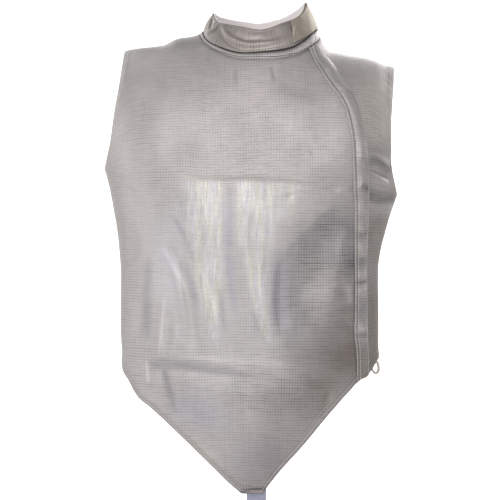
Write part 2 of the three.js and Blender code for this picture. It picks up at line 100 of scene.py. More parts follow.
def alongColumns(points):  # distance down each column of a grid, or along a single path
    steps = np.linalg.norm(np.diff(points, axis=0), axis=-1)
    return np.concatenate([np.zeros_like(steps[:1]), np.cumsum(steps, axis=0)])


def alongRows(points):  # distance along each row, from the first column
    return alongColumns(np.swapaxes(points, 0, 1)).T


def curveThrough(xs, ys):  # a smooth curve through the values that never overshoots them
    xs, ys = np.array(xs, float), np.array(ys, float)
    rises = np.diff(ys) / np.diff(xs)
    before, after = rises[:-1], rises[1:]
    total = np.where(before + after == 0, 1, before + after)
    middle = np.where(before * after > 0, 2 * before * after / total, 0)
    slopes = np.concatenate([rises[:1], middle, rises[-1:]])

    def curve(at):
        at = np.asarray(at, float)
        i = np.clip(np.searchsorted(xs, at) - 1, 0, len(xs) - 2)
        span = xs[i + 1] - xs[i]
        t = np.clip((at - xs[i]) / span, 0, 1)
        t2, t3 = t * t, t * t * t
        level = ys[i] * (2 * t3 - 3 * t2 + 1) + ys[i + 1] * (3 * t2 - 2 * t3)
        return level + span * (slopes[i] * (t3 - 2 * t2 + t) + slopes[i + 1] * (t3 - t2))

    return curve


def curves(at, **columns):  # one curve for each named column
    return {name: curveThrough(at, values) for name, values in columns.items()}


def softNoise(u, v, size, seed):  # smooth uneven values from -1 to 1, with lumps of a given size
    cells = 96
    lattice = np.random.RandomState(seed).uniform(-1, 1, (cells + 1, cells + 1))
    a, b = np.asarray(u) / size + cells / 2, np.asarray(v) / size + cells / 2
    i, j = np.floor(a).astype(int), np.floor(b).astype(int)
    s, t = smoothstep(a - i, 0, 1), smoothstep(b - j, 0, 1)
    i, j = i % cells, j % cells
    low = lattice[i, j] * (1 - s) + lattice[i + 1, j] * s
    high = lattice[i, j + 1] * (1 - s) + lattice[i + 1, j + 1] * s
    return low * (1 - t) + high * t


def newMesh(name, points, faces, material, uv=None, finishAndShade=None):
    mesh = bpy.data.meshes.new(name)
    points = np.asarray(points, float).reshape(-1, 3) * mm
    faces = np.asarray(faces, np.int32)
    mesh.vertices.add(len(points))
    mesh.vertices.foreach_set("co", points.ravel())
    mesh.loops.add(faces.size)
    mesh.loops.foreach_set("vertex_index", faces.ravel())
    mesh.polygons.add(len(faces))
    mesh.polygons.foreach_set("loop_start", np.arange(len(faces), dtype=np.int32) * faces.shape[1])
    mesh.update(calc_edges=True)
    mesh.validate()
    if uv is not None:
        layer = mesh.uv_layers.new(name="weave")
        layer.data.foreach_set("uv", uv[faces.ravel()].ravel())
    for key, values in (finishAndShade or {}).items():
        colour = key == "toneAndShade"
        layer = mesh.attributes.new(key, "FLOAT_COLOR" if colour else "FLOAT", "POINT")
        layer.data.foreach_set("color" if colour else "value", values.ravel())
    mesh.polygons.foreach_set("use_smooth", np.full(len(faces), True))
    mesh.materials.append(material)
    return addObject(name, mesh)


def newMaterial(name):
    material = bpy.data.materials.new(name)
    material.use_nodes = True
    material.node_tree.nodes.clear()
    return material, material.node_tree


def closeMaterial(tree, inputs):  # the shader that every material ends in, and its output
    add(tree, "OutputMaterial", {"Surface": add(tree, "BsdfPrincipled", inputs)})


def threadLines(tree, value, pitch, low):  # a soft line every so many millimetres
    turns = add(tree, "Math", {0: value, 1: 2 * math.pi / pitch}, operation="MULTIPLY")
    wave = add(tree, "Math", {0: turns}, operation="COSINE")
    return add(tree, "MapRange", {0: wave, 1: low, 2: 1.0, 3: 0.0, 4: 1.0}, interpolation_type="SMOOTHSTEP")


def patchy(tree, place, size, low, high, detail=2.0, rough=0.6, span=(0.34, 0.64)):
    # a value that wanders between low and high in patches of a given size, where span is the
    # part of the noise that it follows
    noise = add(tree, "TexNoise", {"Vector": place, "Scale": 1 / size, "Detail": detail, "Roughness": rough})
    return add(tree, "MapRange", {0: noise, 1: span[0], 2: span[1], 3: low, 4: high})


# Lame: polyester woven with fine stainless steel thread, which gives a soft metallic sheen, and a
# coarser check of darker steel yarns that break up along their length. Where the cloth has been
# rubbed its steel is a little smoother, and a painted sheen lifts its colour, in which old oxide
# shows faint yellow and lavender. The real threads are too fine to show: the check and the fine
# thread are drawn as coarse as they need.
lameLook = dict(
    light="#bbb6b5", yarn="#4d4848", warm="#c6c4b4", cool="#b9b7bf", glint=0.6,
    checkPitch=3.85, fineThread=0.9, metallic=0.6, roughness=0.56, polish=-0.07, columns=0.55,
)


def lameMaterial(name, look):
    material, tree = newMaterial(name)
    uv = add(tree, "UVMap", uv_map="weave")
    across, down = add(tree, "SeparateXYZ", {0: uv}).outputs[:2]
    toneAndShade = add(tree, "Attribute", attribute_name="toneAndShade")
    # the painted sheen, where the steel is also smoother, and how strongly the check shows
    rubbedAndSheen, yarn = [add(tree, "Attribute", attribute_name=key).outputs["Fac"] for key in ("rubbedAndSheen", "yarn")]
    lying, standing, hanging = [
        add(tree, "VectorMath", {0: uv, 1: stretch}, operation="MULTIPLY")
        for stretch in ((0.16, 1, 1), (1, 0.16, 1), (1, 0.09, 1))
    ]

    pitch = look["checkPitch"]  # the check's yarns, broken up along their length and in patches
    rowDash = patchy(tree, lying, pitch * 1.1, 0.3, 0.8, detail=1.0)
    columnDash = patchy(tree, standing, pitch * 1.6, 0.35, 0.95, detail=1.0, span=(0.34, 0.66))
    patches = patchy(tree, uv, 30, 0.6, 1.0, detail=3.0)
    rows = add(tree, "Math", {0: threadLines(tree, down, pitch, 0.0), 1: rowDash}, operation="MULTIPLY")
    columns = add(tree, "Math", {0: threadLines(tree, across, pitch, -0.1), 1: look["columns"]},
                  operation="MULTIPLY")
    columns = add(tree, "Math", {0: columns, 1: columnDash}, operation="MULTIPLY")
    check = add(tree, "Math", {0: rows, 1: columns}, operation="MAXIMUM")
    strength = add(tree, "Math", {0: patches, 1: yarn}, operation="MULTIPLY")
    check = add(tree, "Math", {0: check, 1: strength}, operation="MULTIPLY")

    glints = patchy(tree, standing, 9, 0.0, 1.0, detail=4.0, rough=0.7, span=(0.40, 0.60))
    tinted = add(tree, "Mix", {0: glints, 6: linear(look["cool"]), 7: linear(look["warm"])}, data_type="RGBA")
    share = add(tree, "Math", {0: rubbedAndSheen, 1: look["glint"]}, operation="MULTIPLY")
    cloth = add(tree, "Mix", {0: share, 6: linear(look["light"]), 7: tinted}, data_type="RGBA")

    # painted sheen: where the cloth is rubbed its colour is lifted in hanging streaks and flecks,
    # and all of it is mottled and grained
    streaks = patchy(tree, hanging, 3.0, -0.1, 0.17, detail=3.0, span=(0.34, 0.66))
    flecks = patchy(tree, uv, 1.9, -0.05, 0.14, detail=1.0, span=(0.56, 0.70))
    mottle = patchy(tree, lying, 3.6, 0.94, 1.06, detail=3.0, rough=0.7, span=(0.3, 0.7))
    grain = patchy(tree, uv, 1.7, -0.08, 0.08, rough=0.7, span=(0.3, 0.7))
    shine = add(tree, "Math", {0: streaks, 1: flecks}, operation="ADD")
    shine = add(tree, "Math", {0: shine, 1: rubbedAndSheen}, operation="MULTIPLY")
    lift = add(tree, "Math", {0: shine, 1: mottle}, operation="ADD")
    lift = add(tree, "Math", {0: lift, 1: grain}, operation="ADD")
    cloth = add(tree, "Mix", {0: 1.0, 6: cloth, 7: lift}, data_type="RGBA", blend_type="MULTIPLY")
    lined = add(tree, "Mix", {0: check, 6: cloth, 7: linear(look["yarn"])}, data_type="RGBA")
    # the tone multiplied in here carries the painted light and shade
    toned = add(tree, "Mix", {0: 1.0, 6: lined, 7: toneAndShade}, data_type="RGBA", blend_type="MULTIPLY")

    fineAcross, fineDown = [threadLines(tree, way, look["fineThread"], -1.0) for way in (across, down)]
    fine = add(tree, "Math", {0: fineAcross, 1: fineDown}, operation="ADD")
    fine = add(tree, "Math", {0: fine, 1: 0.25}, operation="MULTIPLY")
    height = add(tree, "Math", {0: fine, 1: check}, operation="SUBTRACT")
    bump = add(tree, "Bump", {"Strength": 0.35, "Distance": 0.00025, "Height": height})
    dull = patchy(tree, uv, 3.0, look["roughness"] - 0.05, look["roughness"] + 0.07, span=(0.3, 0.7))
    polish = add(tree, "Math", {0: rubbedAndSheen, 1: look["polish"]}, operation="MULTIPLY")
    rough = add(tree, "Math", {0: dull, 1: polish}, operation="ADD")
    closeMaterial(tree, {"Base Color": toned, "Normal": bump, "Roughness": rough,
                         "Metallic": look["metallic"]})
    return material


def plainCloth(name, colour, pitch, roughness, depth):  # matt plain-woven cloth or tape, a little soiled
    material, tree = newMaterial(name)
    uv = add(tree, "UVMap", uv_map="weave")
    across, down = add(tree, "SeparateXYZ", {0: uv}).outputs[:2]
    warp, weft = threadLines(tree, across, pitch, -1.0), threadLines(tree, down, pitch, -1.0)
    weave = add(tree, "Math", {0: warp, 1: weft}, operation="MULTIPLY")
    darkening = patchy(tree, uv, 18, 0.9, 1.0, detail=3.0, rough=0.5, span=(0.3, 0.7))
    toned = add(tree, "Mix", {0: 1.0, 6: linear(colour), 7: darkening}, data_type="RGBA", blend_type="MULTIPLY")
    bump = add(tree, "Bump", {"Strength": 0.4, "Distance": depth, "Height": weave})
    closeMaterial(tree, {"Base Color": toned, "Normal": bump, "Roughness": roughness, "Sheen Weight": 0.25})
    return material


def threadMaterial(name, colour, roughness):  # spun thread, cord or plastic, with a faint unevenness
    material, tree = newMaterial(name)
    place = add(tree, "TexCoord").outputs["Object"]
    shade = patchy(tree, place, 1 / 900, 0.75, 1.0, detail=1.0, rough=0.5, span=(0.3, 0.7))
    toned = add(tree, "Mix", {0: 1.0, 6: linear(colour), 7: shade}, data_type="RGBA", blend_type="MULTIPLY")
    closeMaterial(tree, {"Base Color": toned, "Roughness": roughness})
    return material


lameCloth = lameMaterial("lameWeave", lameLook)
collarCloth = lameMaterial("lameCollar", dict(lameLook, light="#aaa29e", yarn="#3a3533", columns=0.3))
tabCloth = lameMaterial("lameTab", dict(lameLook, light="#aba297", yarn="#554f48", columns=0.3))
liningCloth = plainCloth("cottonLining", "#efe8e8", 0.9, 0.85, 0.0001)
webbing = plainCloth("elasticWebbing", "#9396aa", 1.6, 0.75, 0.0003)
zipTapeCloth = plainCloth("polyesterZipTape", "#8f8d8c", 0.7, 0.8, 0.0001)
lightThread = threadMaterial("lightPolyesterThread", "#dedad3", 0.6)
greyThread = threadMaterial("greyPolyesterThread", "#8d8782", 0.6)
darkThread = threadMaterial("darkPolyesterThread", "#2b2624", 0.8)
cordThread = threadMaterial("braidedCottonCord", "#e2ddd4", 0.8)
toothPlastic = threadMaterial("acetalZipTeeth", "#a5a3a0", 0.35)
print("materials ready")

# The hip loop: a short cord that hangs from the left hip, both ends sewn inside the hem.
hipLoop = dict(
    diameter=4.4, strands=3, turns=12, steps=120, groove=0.12,
    route=[
        (172.8, 5.5, -442), (172.8, 5.4, -446), (173, 5.2, -450), (174, 5, -454), (176.4, 4.7, -457.8),
        (179.2, 4.3, -461.6), (180.6, 3.7, -466), (180.8, 3, -470.4), (179.4, 2, -474.2),
        (176.4, 0.8, -475.6), (173.4, -0.8, -474), (171, -2.2, -470.6), (169.8, -3.4, -466.4),
        (169.8, -4.4, -462), (170.6, -5.2, -457.4), (171.6, -5.8, -452.6), (172.4, -6.2, -447.4),
        (172.8, -6.4, -442),
    ],
)


# How finely paths, crossings and columns of cloth are worked out before they are shared out evenly.
# Samples are crowded towards the round shoulders.
detail = dict(path=24, stroke=14, neckSteps=24, hemSteps=40, column=700, closing=900, crowding=1.35)


def smoothPath(points, count):  # evenly spaced points on a curve through the given ones
    points = np.array(points, float)
    p = np.concatenate([[2 * points[0] - points[1]], points, [2 * points[-1] - points[-2]]])
    fine = []
    for i in range(1, len(p) - 2):
        t = np.linspace(0, 1, detail["path"], endpoint=False)[:, None]
        fine.append(0.5 * (2 * p[i] + (p[i + 1] - p[i - 1]) * t
                           + (2 * p[i - 1] - 5 * p[i] + 4 * p[i + 1] - p[i + 2]) * t ** 2
                           + (3 * p[i] - 3 * p[i + 1] + p[i + 2] - p[i - 1]) * t ** 3))
    fine = np.concatenate(fine + [points[-1:]])
    reach = alongColumns(fine)
    wanted = np.linspace(0, reach[-1], count)
    return np.stack([np.interp(wanted, reach, column) for column in fine.T], -1)


def lengthOf(path):
    return float(alongColumns(path)[-1])


def sidesOf(path):  # two directions square to a path, carried along it without twist
    tangents = unit(np.gradient(path, axis=0))
    first = np.cross(tangents[0], [0.3, 0.9, 0.2])
    carried = []
    for tangent in tangents:
        first = unit(first - tangent * np.dot(first, tangent))
        carried.append(first)
    return np.array(carried), np.cross(tangents, carried)


def cordMesh(name, path, cord, material):  # strands laid round each other, as one skin
    strands, groove = cord["strands"], cord["groove"]
    around = 6 * strands
    angle = np.linspace(0, 2 * np.pi, around, endpoint=False)[None, :]
    lay = 2 * np.pi * cord["turns"] * np.linspace(0, 1, len(path))[:, None]
    radius = cord["diameter"] / 2 * (1 - groove + groove * np.abs(np.cos(strands * (angle - lay) / 2)))
    first, second = (side[:, None] for side in sidesOf(path))
    ring = first * (np.cos(angle) * radius)[..., None] + second * (np.sin(angle) * radius)[..., None]
    points = np.concatenate([(path[:, None] + ring).reshape(-1, 3), path[:1], path[-1:]])
    start, last = len(points) - 2, (len(path) - 1) * around
    faces = [(i + j, i + (j + 1) % around, i + around + (j + 1) % around, i + around + j)
             for i in range(0, last, around) for j in range(around)]
    for j in range(around):  # the two cut ends
        k = (j + 1) % around
        faces += [(start, k, j), (start + 1, last + j, last + k)]
    mesh = bpy.data.meshes.new(name)
    mesh.from_pydata((points * mm).tolist(), [], faces)
    mesh.polygons.foreach_set("use_smooth", np.full(len(faces), True))
    mesh.materials.append(material)
    return addObject(name, mesh)


loopPath = smoothPath(hipLoop["route"], hipLoop["steps"])
loopPiece = cordMesh("hipLoopCord", loopPath, hipLoop, cordThread)
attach(loopPiece, "root")
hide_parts("hip_loop")
print("hip loop", round(lengthOf(loopPath)), "mm")

# The worn form that the cloth lies on.
# at runs down the garment: 0 at the shoulder line, 1 at the foot of the armholes, 5 at the hip.
# across runs from -1 at the right side seam to 1 at the left one.
torso = curves(
    [1, 2, 3, 4, 5, 6, 7],
    zRight=[-184, -240, -326, -400, -462, -530, -650],
    zLeft=[-219, -262, -326, -400, -462, -530, -650],
    halfRight=[215.5, 202.5, 192.5, 192.5, 190.5, 190.5, 190.5],
    halfLeft=[206, 192, 179, 179, 179, 179, 179],
    front=[122, 124, 119, 115, 112, 100, 63],
    back=[113, 110, 101, 103, 109, 112, 112],
    square=[2.5, 2.6, 2.8, 2.9, 2.9, 2.8, 2.6],
)
shoulders = curves(
    [0, 0.12, 0.33, 0.5, 0.67, 0.83, 0.92, 1],
    halfRight=[226, 226, 226, 226, 225, 222, 219, 215.5],
    halfLeft=[230, 230, 229, 226, 221, 214, 210, 206],
    armholeRight=[186.5, 187, 188.5, 191.5, 197.5, 203, 209, 215.5],
    armholeLeft=[198.5, 202, 199.5, 196, 193, 193, 198, 206],
)
shoulderLine = curves(
    [-230, -187, -160, -133, -122, -112, -102, -84, -60, 8, 40, 78, 106, 132, 161, 175, 188, 200, 230],
    z=[-26, -9, -4, -1, 0, 1, 2, 4, 6, 10, 8, 1, -8, -13.5, -18.5, -22, -27.5, -31.5, -43],
    fold=[0, 0, 0, 0, 4.5, 8, 9, 8, 5, 0, 0, 0, 0, 0, 0, 0, 0, 0, 0],
)
closing = curves(
    [0, 0.1, 0.2, 0.26, 0.33, 0.42, 0.48, 0.53, 0.6, 0.67, 0.77, 0.92, 1, 1.4, 2.8, 4, 5, 7],
    x=[84, 84.5, 87, 91.5, 99.5, 110, 119.5, 128.3, 137, 141.3, 146, 148, 148.5, 149.5, 148.5, 149.5,
       151.5, 153],
    flap=[14, 14, 13.5, 13.2, 13, 12.2, 11.5, 11, 10.8, 10.8, 11.5, 12, 12, 12, 11.5, 11.5, 11, 11],
)
frontHem = curves(
    [-200, -190, -187, -177, -170, -161, -145, -112, -67, -23, -17, 12, 17, 34, 67, 100, 134, 148, 158,
     164, 170, 176, 200],
    z=[-452, -461, -468, -481, -493, -505, -517, -547, -592, -635.5, -639.5, -639.5, -632, -609, -571,
       -530, -492, -478, -473.5, -467, -459, -453, -449],
)
backHem = curves([-200, -160, 0, 150, 200], z=[-460, -464, -463, -458, -451])
neckTurns = curves(  # round the neck by angle: 0 is the throat, 90 the wearer's left
    [-180, -150, -120, -90, -75, -60, -45, -20, 0, 30, 45, 60, 75, 90, 105, 120, 135, 150, 180],
    rise=[3, 4, 6, 7, 4, 3, 3.6, 2.2, 4.6, 9.3, 15.6, 21.4, 23.2, 23.5, 20, 15, 10, 6, 3],
    rim=[38.5, 42, 44.5, 47, 37.5, 29.5, 25.5, 19.5, 15, 26, 32, 40, 51, 62, 60, 56, 50.5, 45, 38.5],
)
neck = dict(x=8.5, halfWidth=81.5, front=62, back=58, square=2.4, riseWidth=0.32)
neckRight, neckLeft = neck["x"] - neck["halfWidth"], neck["x"] + neck["halfWidth"]
shoulderDrop = dict(front=1.9, back=3.0)
foldReach = 0.26  # how far down the fold on the shoulder runs
tiltHalf = 200  # the heights of zRight and zLeft hold so far out to each side
seamGap = 0.3  # between the front and the back, and along the closing
foot, hip, lowest = 1.0, 5.0, 7.0  # stations of the armholes' foot, the hip and the lowest hem
hemHeights = dict(front=frontHem["z"], back=backHem["z"])
facing = dict(front=-1, back=1)  # which way each half looks, along y


def halves(at):
    above = at < foot
    right = np.where(above, shoulders["halfRight"](at), torso["halfRight"](at))
    left = np.where(above, shoulders["halfLeft"](at), torso["halfLeft"](at))
    return right, left


def xOf(at, across):
    right, left = halves(at)
    return (left - right) / 2 + (left + right) / 2 * np.sin(across * np.pi / 2)


def acrossOf(at, x):
    right, left = halves(np.asarray(at, float))
    return np.arcsin(np.clip((x - (left - right) / 2) / ((left + right) / 2), -1, 1)) / (np.pi / 2)


def tiltedHeight(at, x):
    right, left = torso["zRight"](at), torso["zLeft"](at)
    return right + (x + tiltHalf) / (2 * tiltHalf) * (left - right)


def neckSize(aside, ahead):  # 1 on the neck seam's line, and more outside it
    square = neck["square"]
    return (np.abs(aside) ** square + np.abs(ahead) ** square) ** (1 / square)


def shoulderLift(x, y, at):
    aside = (x - neck["x"]) / neck["halfWidth"]
    ahead = -y / np.where(y < 0, neck["front"], neck["back"])
    turn = np.degrees(np.arctan2(aside, ahead))
    near = np.maximum(0, 1 - (neckSize(aside, ahead) - 1) / neck["riseWidth"])
    return neckTurns["rise"](turn) * near ** 2 + shoulderLine["fold"](x) * (1 - smoothstep(at, 0, foldReach))


def formPoint(half, at, across):
    at, across = np.broadcast_arrays(np.asarray(at, float), np.asarray(across, float))
    x = xOf(at, across)
    station = np.maximum(at, foot)
    square = torso["square"](station)
    flank = np.abs(np.sin(across * np.pi / 2)) ** square
    depth = torso[half](station) * np.clip(1 - flank, 0, 1) ** (1 / square)
    turn = np.clip(at, 0, foot) * np.pi / 2
    power = 2 / shoulderDrop[half]
    y = facing[half] * depth * np.sin(turn) ** power
    ridge = shoulderLine["z"](x)
    fall = (ridge - tiltedHeight(foot, x)) * (1 - np.cos(np.minimum(turn, np.pi / 2)).clip(0) ** power)
    z = np.where(at >= foot, tiltedHeight(at, x), ridge - fall + shoulderLift(x, y, at))
    return np.stack([x, y, z], -1)


def formNormal(half, at, across, small=2e-3):  # from points so little apart
    at = np.maximum(at, 3 * small)
    across = np.clip(across, -1 + 3 * small, 1 - 3 * small)
    down = formPoint(half, at + small, across) - formPoint(half, at - small, across)
    over = formPoint(half, at, across + small) - formPoint(half, at, across - small)
    return unit(np.cross(over, down)) * facing[half]


def liesOn(half, at, across, small=2e-3):  # points of one half, drawn apart by the seams, and their normals
    points = formPoint(half, at, across)
    points[..., 1] += facing[half] * seamGap / 2
    return points, formNormal(half, at, across, small)


def neckStation(half, x, across, grow=0.0):
    aside = np.abs(x - neck["x"]) / (neck["halfWidth"] + grow)
    reach = (neck[half] + grow) * np.clip(1 - aside ** neck["square"], 0, 1) ** (1 / neck["square"])
    depth = np.abs(formPoint(half, foot, across)[..., 1])
    share = np.clip((reach / depth) ** (shoulderDrop[half] / 2), 0, 1)
    return np.where(aside >= 1, 0, np.arcsin(share) / (np.pi / 2))


def rightEdge(at):
    return np.where(at >= foot, -1, acrossOf(at, -shoulders["armholeRight"](at)))


def leftEdge(at):
    return np.where(at >= foot, 1, acrossOf(at, shoulders["armholeLeft"](at)))


def closingAcross(at, aside):  # the closing line, moved sideways over the cloth
    at = np.asarray(at, float)
    step = 0.002
    middle = acrossOf(at, closing["x"](at))
    over = formPoint("front", at, middle + step) - formPoint("front", at, middle - step)
    lower, upper = np.maximum(at, step) + step, np.maximum(at, step) - step
    down = unit(formPoint("front", lower, acrossOf(lower, closing["x"](lower)))
                - formPoint("front", upper, acrossOf(upper, closing["x"](upper))))
    return middle + aside * 2 * step / np.linalg.norm(np.cross(over, down), axis=-1)


def closeRight(at):
    return closingAcross(at, -seamGap / 2)


def closeLeft(at):
    return closingAcross(at, seamGap / 2)


def xOfEdge(edge, at):
    at = np.asarray(at, float)
    return float(formPoint("front", at, edge(at))[..., 0])


def neckCrossing(half, acrossAt, count, grow=0.0):  # where each column crosses the neck seam
    at = np.zeros(count)
    for _ in range(detail["neckSteps"]):
        across = acrossAt(at)
        at = (at + neckStation(half, formPoint(half, at, across)[..., 0], across, grow)) / 2
    return np.where(at < 1e-3, 0, at)


def hemCrossing(half, acrossAt, count):  # where each column meets the hem, by halving
    low, high = np.full(count, foot), np.full(count, lowest)
    for _ in range(detail["hemSteps"]):
        middle = (low + high) / 2
        point = formPoint(half, middle, acrossAt(middle))
        above = point[..., 2] > hemHeights[half](point[..., 0])
        low, high = np.where(above, middle, low), np.where(above, high, middle)
    return low


def hemSlope(points, most=1.6):  # how much longer a distance down a column is than square to the hem
    slope = np.gradient(points[-1, :, 2], points[-1, :, 0])
    return np.clip(np.sqrt(1 + slope ** 2), 1, most)


hemRows = [15, 12.5, 10.5, 9, 8, 7, 5.5, 3.5, 1.5, 0]  # rows of each panel, so far above its hem


def gridBetween(half, first, last, topXs, hemXs, rowCount):
    # columns of cloth between two edges, each with its rows evenly spaced down it to its hemRows
    topXs, hemXs = np.asarray(topXs, float), np.asarray(hemXs, float)
    start, middle, end = (np.full(len(topXs), at) for at in (0.0, foot, hip))
    topShare = (acrossOf(start, topXs) - first(start)) / (last(start) - first(start))
    hemShare = (acrossOf(end, hemXs) - first(end)) / (last(end) - first(end))

    def low(at):  # under the armholes the columns share out the way round
        share = topShare + (hemShare - topShare) * smoothstep(at, 0, hip)
        return first(at) + (last(at) - first(at)) * share

    def shareOf(at, x):
        return (x - xOf(at, first(at))) / (xOf(at, last(at)) - xOf(at, first(at)))

    startShare, footShare = shareOf(start, topXs), shareOf(middle, xOf(middle, low(middle)))

    def acrossAt(at):  # above that they share out the width
        share = startShare + (footShare - startShare) * smoothstep(at, 0, foot)
        x = xOf(at, first(at)) + (xOf(at, last(at)) - xOf(at, first(at))) * share
        return np.where(at < foot, acrossOf(at, x), low(at))

    top = neckCrossing(half, acrossAt, len(topXs))
    bottom = hemCrossing(half, acrossAt, len(topXs))
    samples = np.linspace(0, 1, detail["column"])[:, None] ** detail["crowding"]
    stations = top + (bottom - top) * samples
    course = formPoint(half, stations, acrossAt(stations))
    reach = alongColumns(course)
    near = np.array(hemRows)
    grid = np.empty((rowCount + len(near), len(topXs)))
    for j, stretch in enumerate(hemSlope(course)):
        lower = reach[-1, j] - near * stretch
        upper = np.linspace(0, lower[0], rowCount, endpoint=False)
        grid[:, j] = np.interp(np.concatenate([upper, lower]), reach[:, j], stations[:, j])
    return grid, acrossAt(grid)


def normalsOf(points, half):
    down, over = np.gradient(points, axis=0), np.gradient(points, axis=1)
    return unit(np.cross(over, down)) * facing[half]


def bandNormals(points):  # of a band round the neck, away from its middle
    normal = normalsOf(points, "back")
    return normal * np.sign((normal * (points - points.reshape(-1, 3).mean(axis=0))).sum())


def weaveOf(points, centre, level=-250):
    # cloth coordinates in millimetres: across from the middle column, and down from a level line
    u = alongRows(points[..., :2])
    u = u - u[:, centre:centre + 1] + points[:, centre:centre + 1, 0]
    v = -alongColumns(points)
    for j in range(points.shape[1]):
        order = np.argsort(points[:, j, 2])
        v[:, j] += level - np.interp(level, points[order, j, 2], v[order, j])
    return np.stack([u, v], -1)


def stroke(width, amount, *path, lean=0, taper=1, flat=0, fade=0.3, start=None, end=None, tint=(1, 1, 1)):
    # a soft stroke along a path, which changes the cloth by an amount. A lean above 0 makes the left
    # or lower side of the path broader than the other, taper narrows it towards its end, flat is the
    # part of its width that stays level, and it fades over a share of the path at its start and end
    return dict(path=path, width=width, amount=amount, lean=lean, taper=taper, flat=flat, tint=tint,
                start=fade if start is None else start, end=fade if end is None else end)


def distanceTo(path, x, z):  # distance from a path, signed by its side, and the share along it
    best = np.full(x.shape, 1e9)
    side, along = np.zeros(x.shape), np.zeros(x.shape)
    reach = alongColumns(path)
    for i in range(len(path) - 1):
        (ax, az), (dx, dz) = path[i], path[i + 1] - path[i]
        t = np.clip(((x - ax) * dx + (z - az) * dz) / (dx * dx + dz * dz), 0, 1)
        gap = np.hypot(x - ax - t * dx, z - az - t * dz)
        nearer = gap < best
        best = np.where(nearer, gap, best)
        side = np.where(nearer, np.sign((x - ax) * dz - (z - az) * dx), side)
        along = np.where(nearer, (reach[i] + t * (reach[i + 1] - reach[i])) / reach[-1], along)
    return best * side, along


def strokeShare(x, z, mark):  # how far each point lies within a stroke, from 0 to 1
    path = smoothPath(mark["path"], detail["stroke"])
    width, lean, taper = mark["width"], mark["lean"], mark["taper"]
    reach = width * (1 + abs(lean)) * max(1, taper)
    near = ((x > path[:, 0].min() - reach) & (x < path[:, 0].max() + reach)
            & (z > path[:, 1].min() - reach) & (z < path[:, 1].max() + reach))
    share = np.zeros(x.shape)
    if near.any():
        gap, along = distanceTo(path, x[near], z[near])
        half = width * np.where(gap > 0, 1 + lean, 1 - lean) * (1 + (taper - 1) * along)
        ends = smoothstep(along, 0, mark["start"]) * (1 - smoothstep(along, 1 - mark["end"], 1))
        share[near] = (1 - smoothstep(np.abs(gap) / half, mark["flat"], 1)) * ends
    return share


def foldRelief(x, z, folds):  # soft ridges and troughs in the cloth
    total = np.zeros(x.shape)
    for fold in folds:
        total += fold["amount"] * strokeShare(x, z, fold)
    return total


# Uneven wear: streaks that hang down the cloth and broad patches, each with its size and strength,
# and how far the check fades under the painted sheen.
wear = dict(streak=8, hang=0.14, streakShare=0.022, patch=24, patchShare=0.018, checkFadeInSheen=0.6)


def finishAndShadingOf(x, z, look):
    # how the cloth looks, with light and shade painted in: its tone, from random streaks and patches
    # and the painted shading; its painted sheen, where it is also rubbed a little smoother; and how dark
    # its check stands, which is painted stronger in the shade and fainter in the sheen
    toneAndShade = np.ones(x.shape + (3,)) * look.get("base", 1.0)
    streaks = wear["streakShare"] * softNoise(x, z * wear["hang"], wear["streak"], 41)
    patches = wear["patchShare"] * softNoise(x, z, wear["patch"], 43)
    toneAndShade = toneAndShade * (1 + streaks + patches)[..., None]
    # painted light and shade, stroke by stroke
    for mark in look.get("paintedShading", []):
        share = strokeShare(x, z, mark)[..., None]
        toneAndShade = toneAndShade * (1 + share * ((1 + mark["amount"]) * np.array(mark["tint"]) - 1))
    rubbedAndSheen = np.zeros(x.shape)
    # painted sheen
    for mark in look.get("rubbedAndSheen", []):
        rubbedAndSheen = np.maximum(rubbedAndSheen, mark["amount"] * strokeShare(x, z, mark))
    yarn = look.get("yarn", 0.6) + foldRelief(x, z, look.get("yarns", []))
    yarn = np.clip(yarn * (1 - wear["checkFadeInSheen"] * rubbedAndSheen), 0, 1)
    return dict(toneAndShade=np.concatenate([toneAndShade, np.ones(x.shape + (1,))], -1), rubbedAndSheen=rubbedAndSheen, yarn=yarn)


def darken(finishAndShade, share):
    finishAndShade["toneAndShade"][..., :3] *= (1 - share)[..., None]


def outwardFaces(points, faces):  # turns every face round if the closed shell is inside out
    a, b, c, d = (points[faces[:, k]] for k in range(4))
    volume = (a * (np.cross(b, c) + np.cross(c, d))).sum()
    return faces if volume > 0 else faces[:, ::-1]


edgeRound = 0.35  # how far the rounded edge of a piece of cloth stands out


def clothShell(name, points, normals, wall, material, uv, finishAndShade):
    # a closed wall of cloth on a grid of points, with its four edges rounded over
    rows, columns = points.shape[:2]
    count = rows * columns
    index = np.arange(count).reshape(rows, columns)
    quads = np.stack([index[:-1, :-1], index[1:, :-1], index[1:, 1:], index[:-1, 1:]], -1).reshape(-1, 4)
    loop = np.concatenate([index[:-1, 0], index[-1, :-1], index[:0:-1, -1], index[0, :0:-1]])
    outer, normals = points.reshape(-1, 3), normals.reshape(-1, 3)
    inner, ring = outer - normals * wall, outer[loop]
    away = unit(np.cross(np.roll(ring, -1, axis=0) - np.roll(ring, 1, axis=0), normals[loop]))
    away *= np.sign(((ring - outer.mean(axis=0)) * away).sum())  # away from the middle of the cloth
    middle = (ring + inner[loop]) / 2 + away * edgeRound
    rim = 2 * count + np.arange(len(loop))
    nextRim, nextLoop = np.roll(rim, -1), np.roll(loop, -1)
    faces = np.concatenate([
        quads,
        quads[:, ::-1] + count,
        np.stack([loop, rim, nextRim, nextLoop], -1),
        np.stack([rim, loop + count, nextLoop + count, nextRim], -1),
    ])
    shell = np.concatenate([outer, inner, middle])

    def onShell(values):  # the outer face's values for the inner face and the edge too
        values = values.reshape(count, -1)
        return np.concatenate([values, values, values[loop]])

    full = {key: onShell(values) for key, values in finishAndShade.items()}
    return newMesh(name, shell, outwardFaces(shell, faces), material, onShell(uv), full)


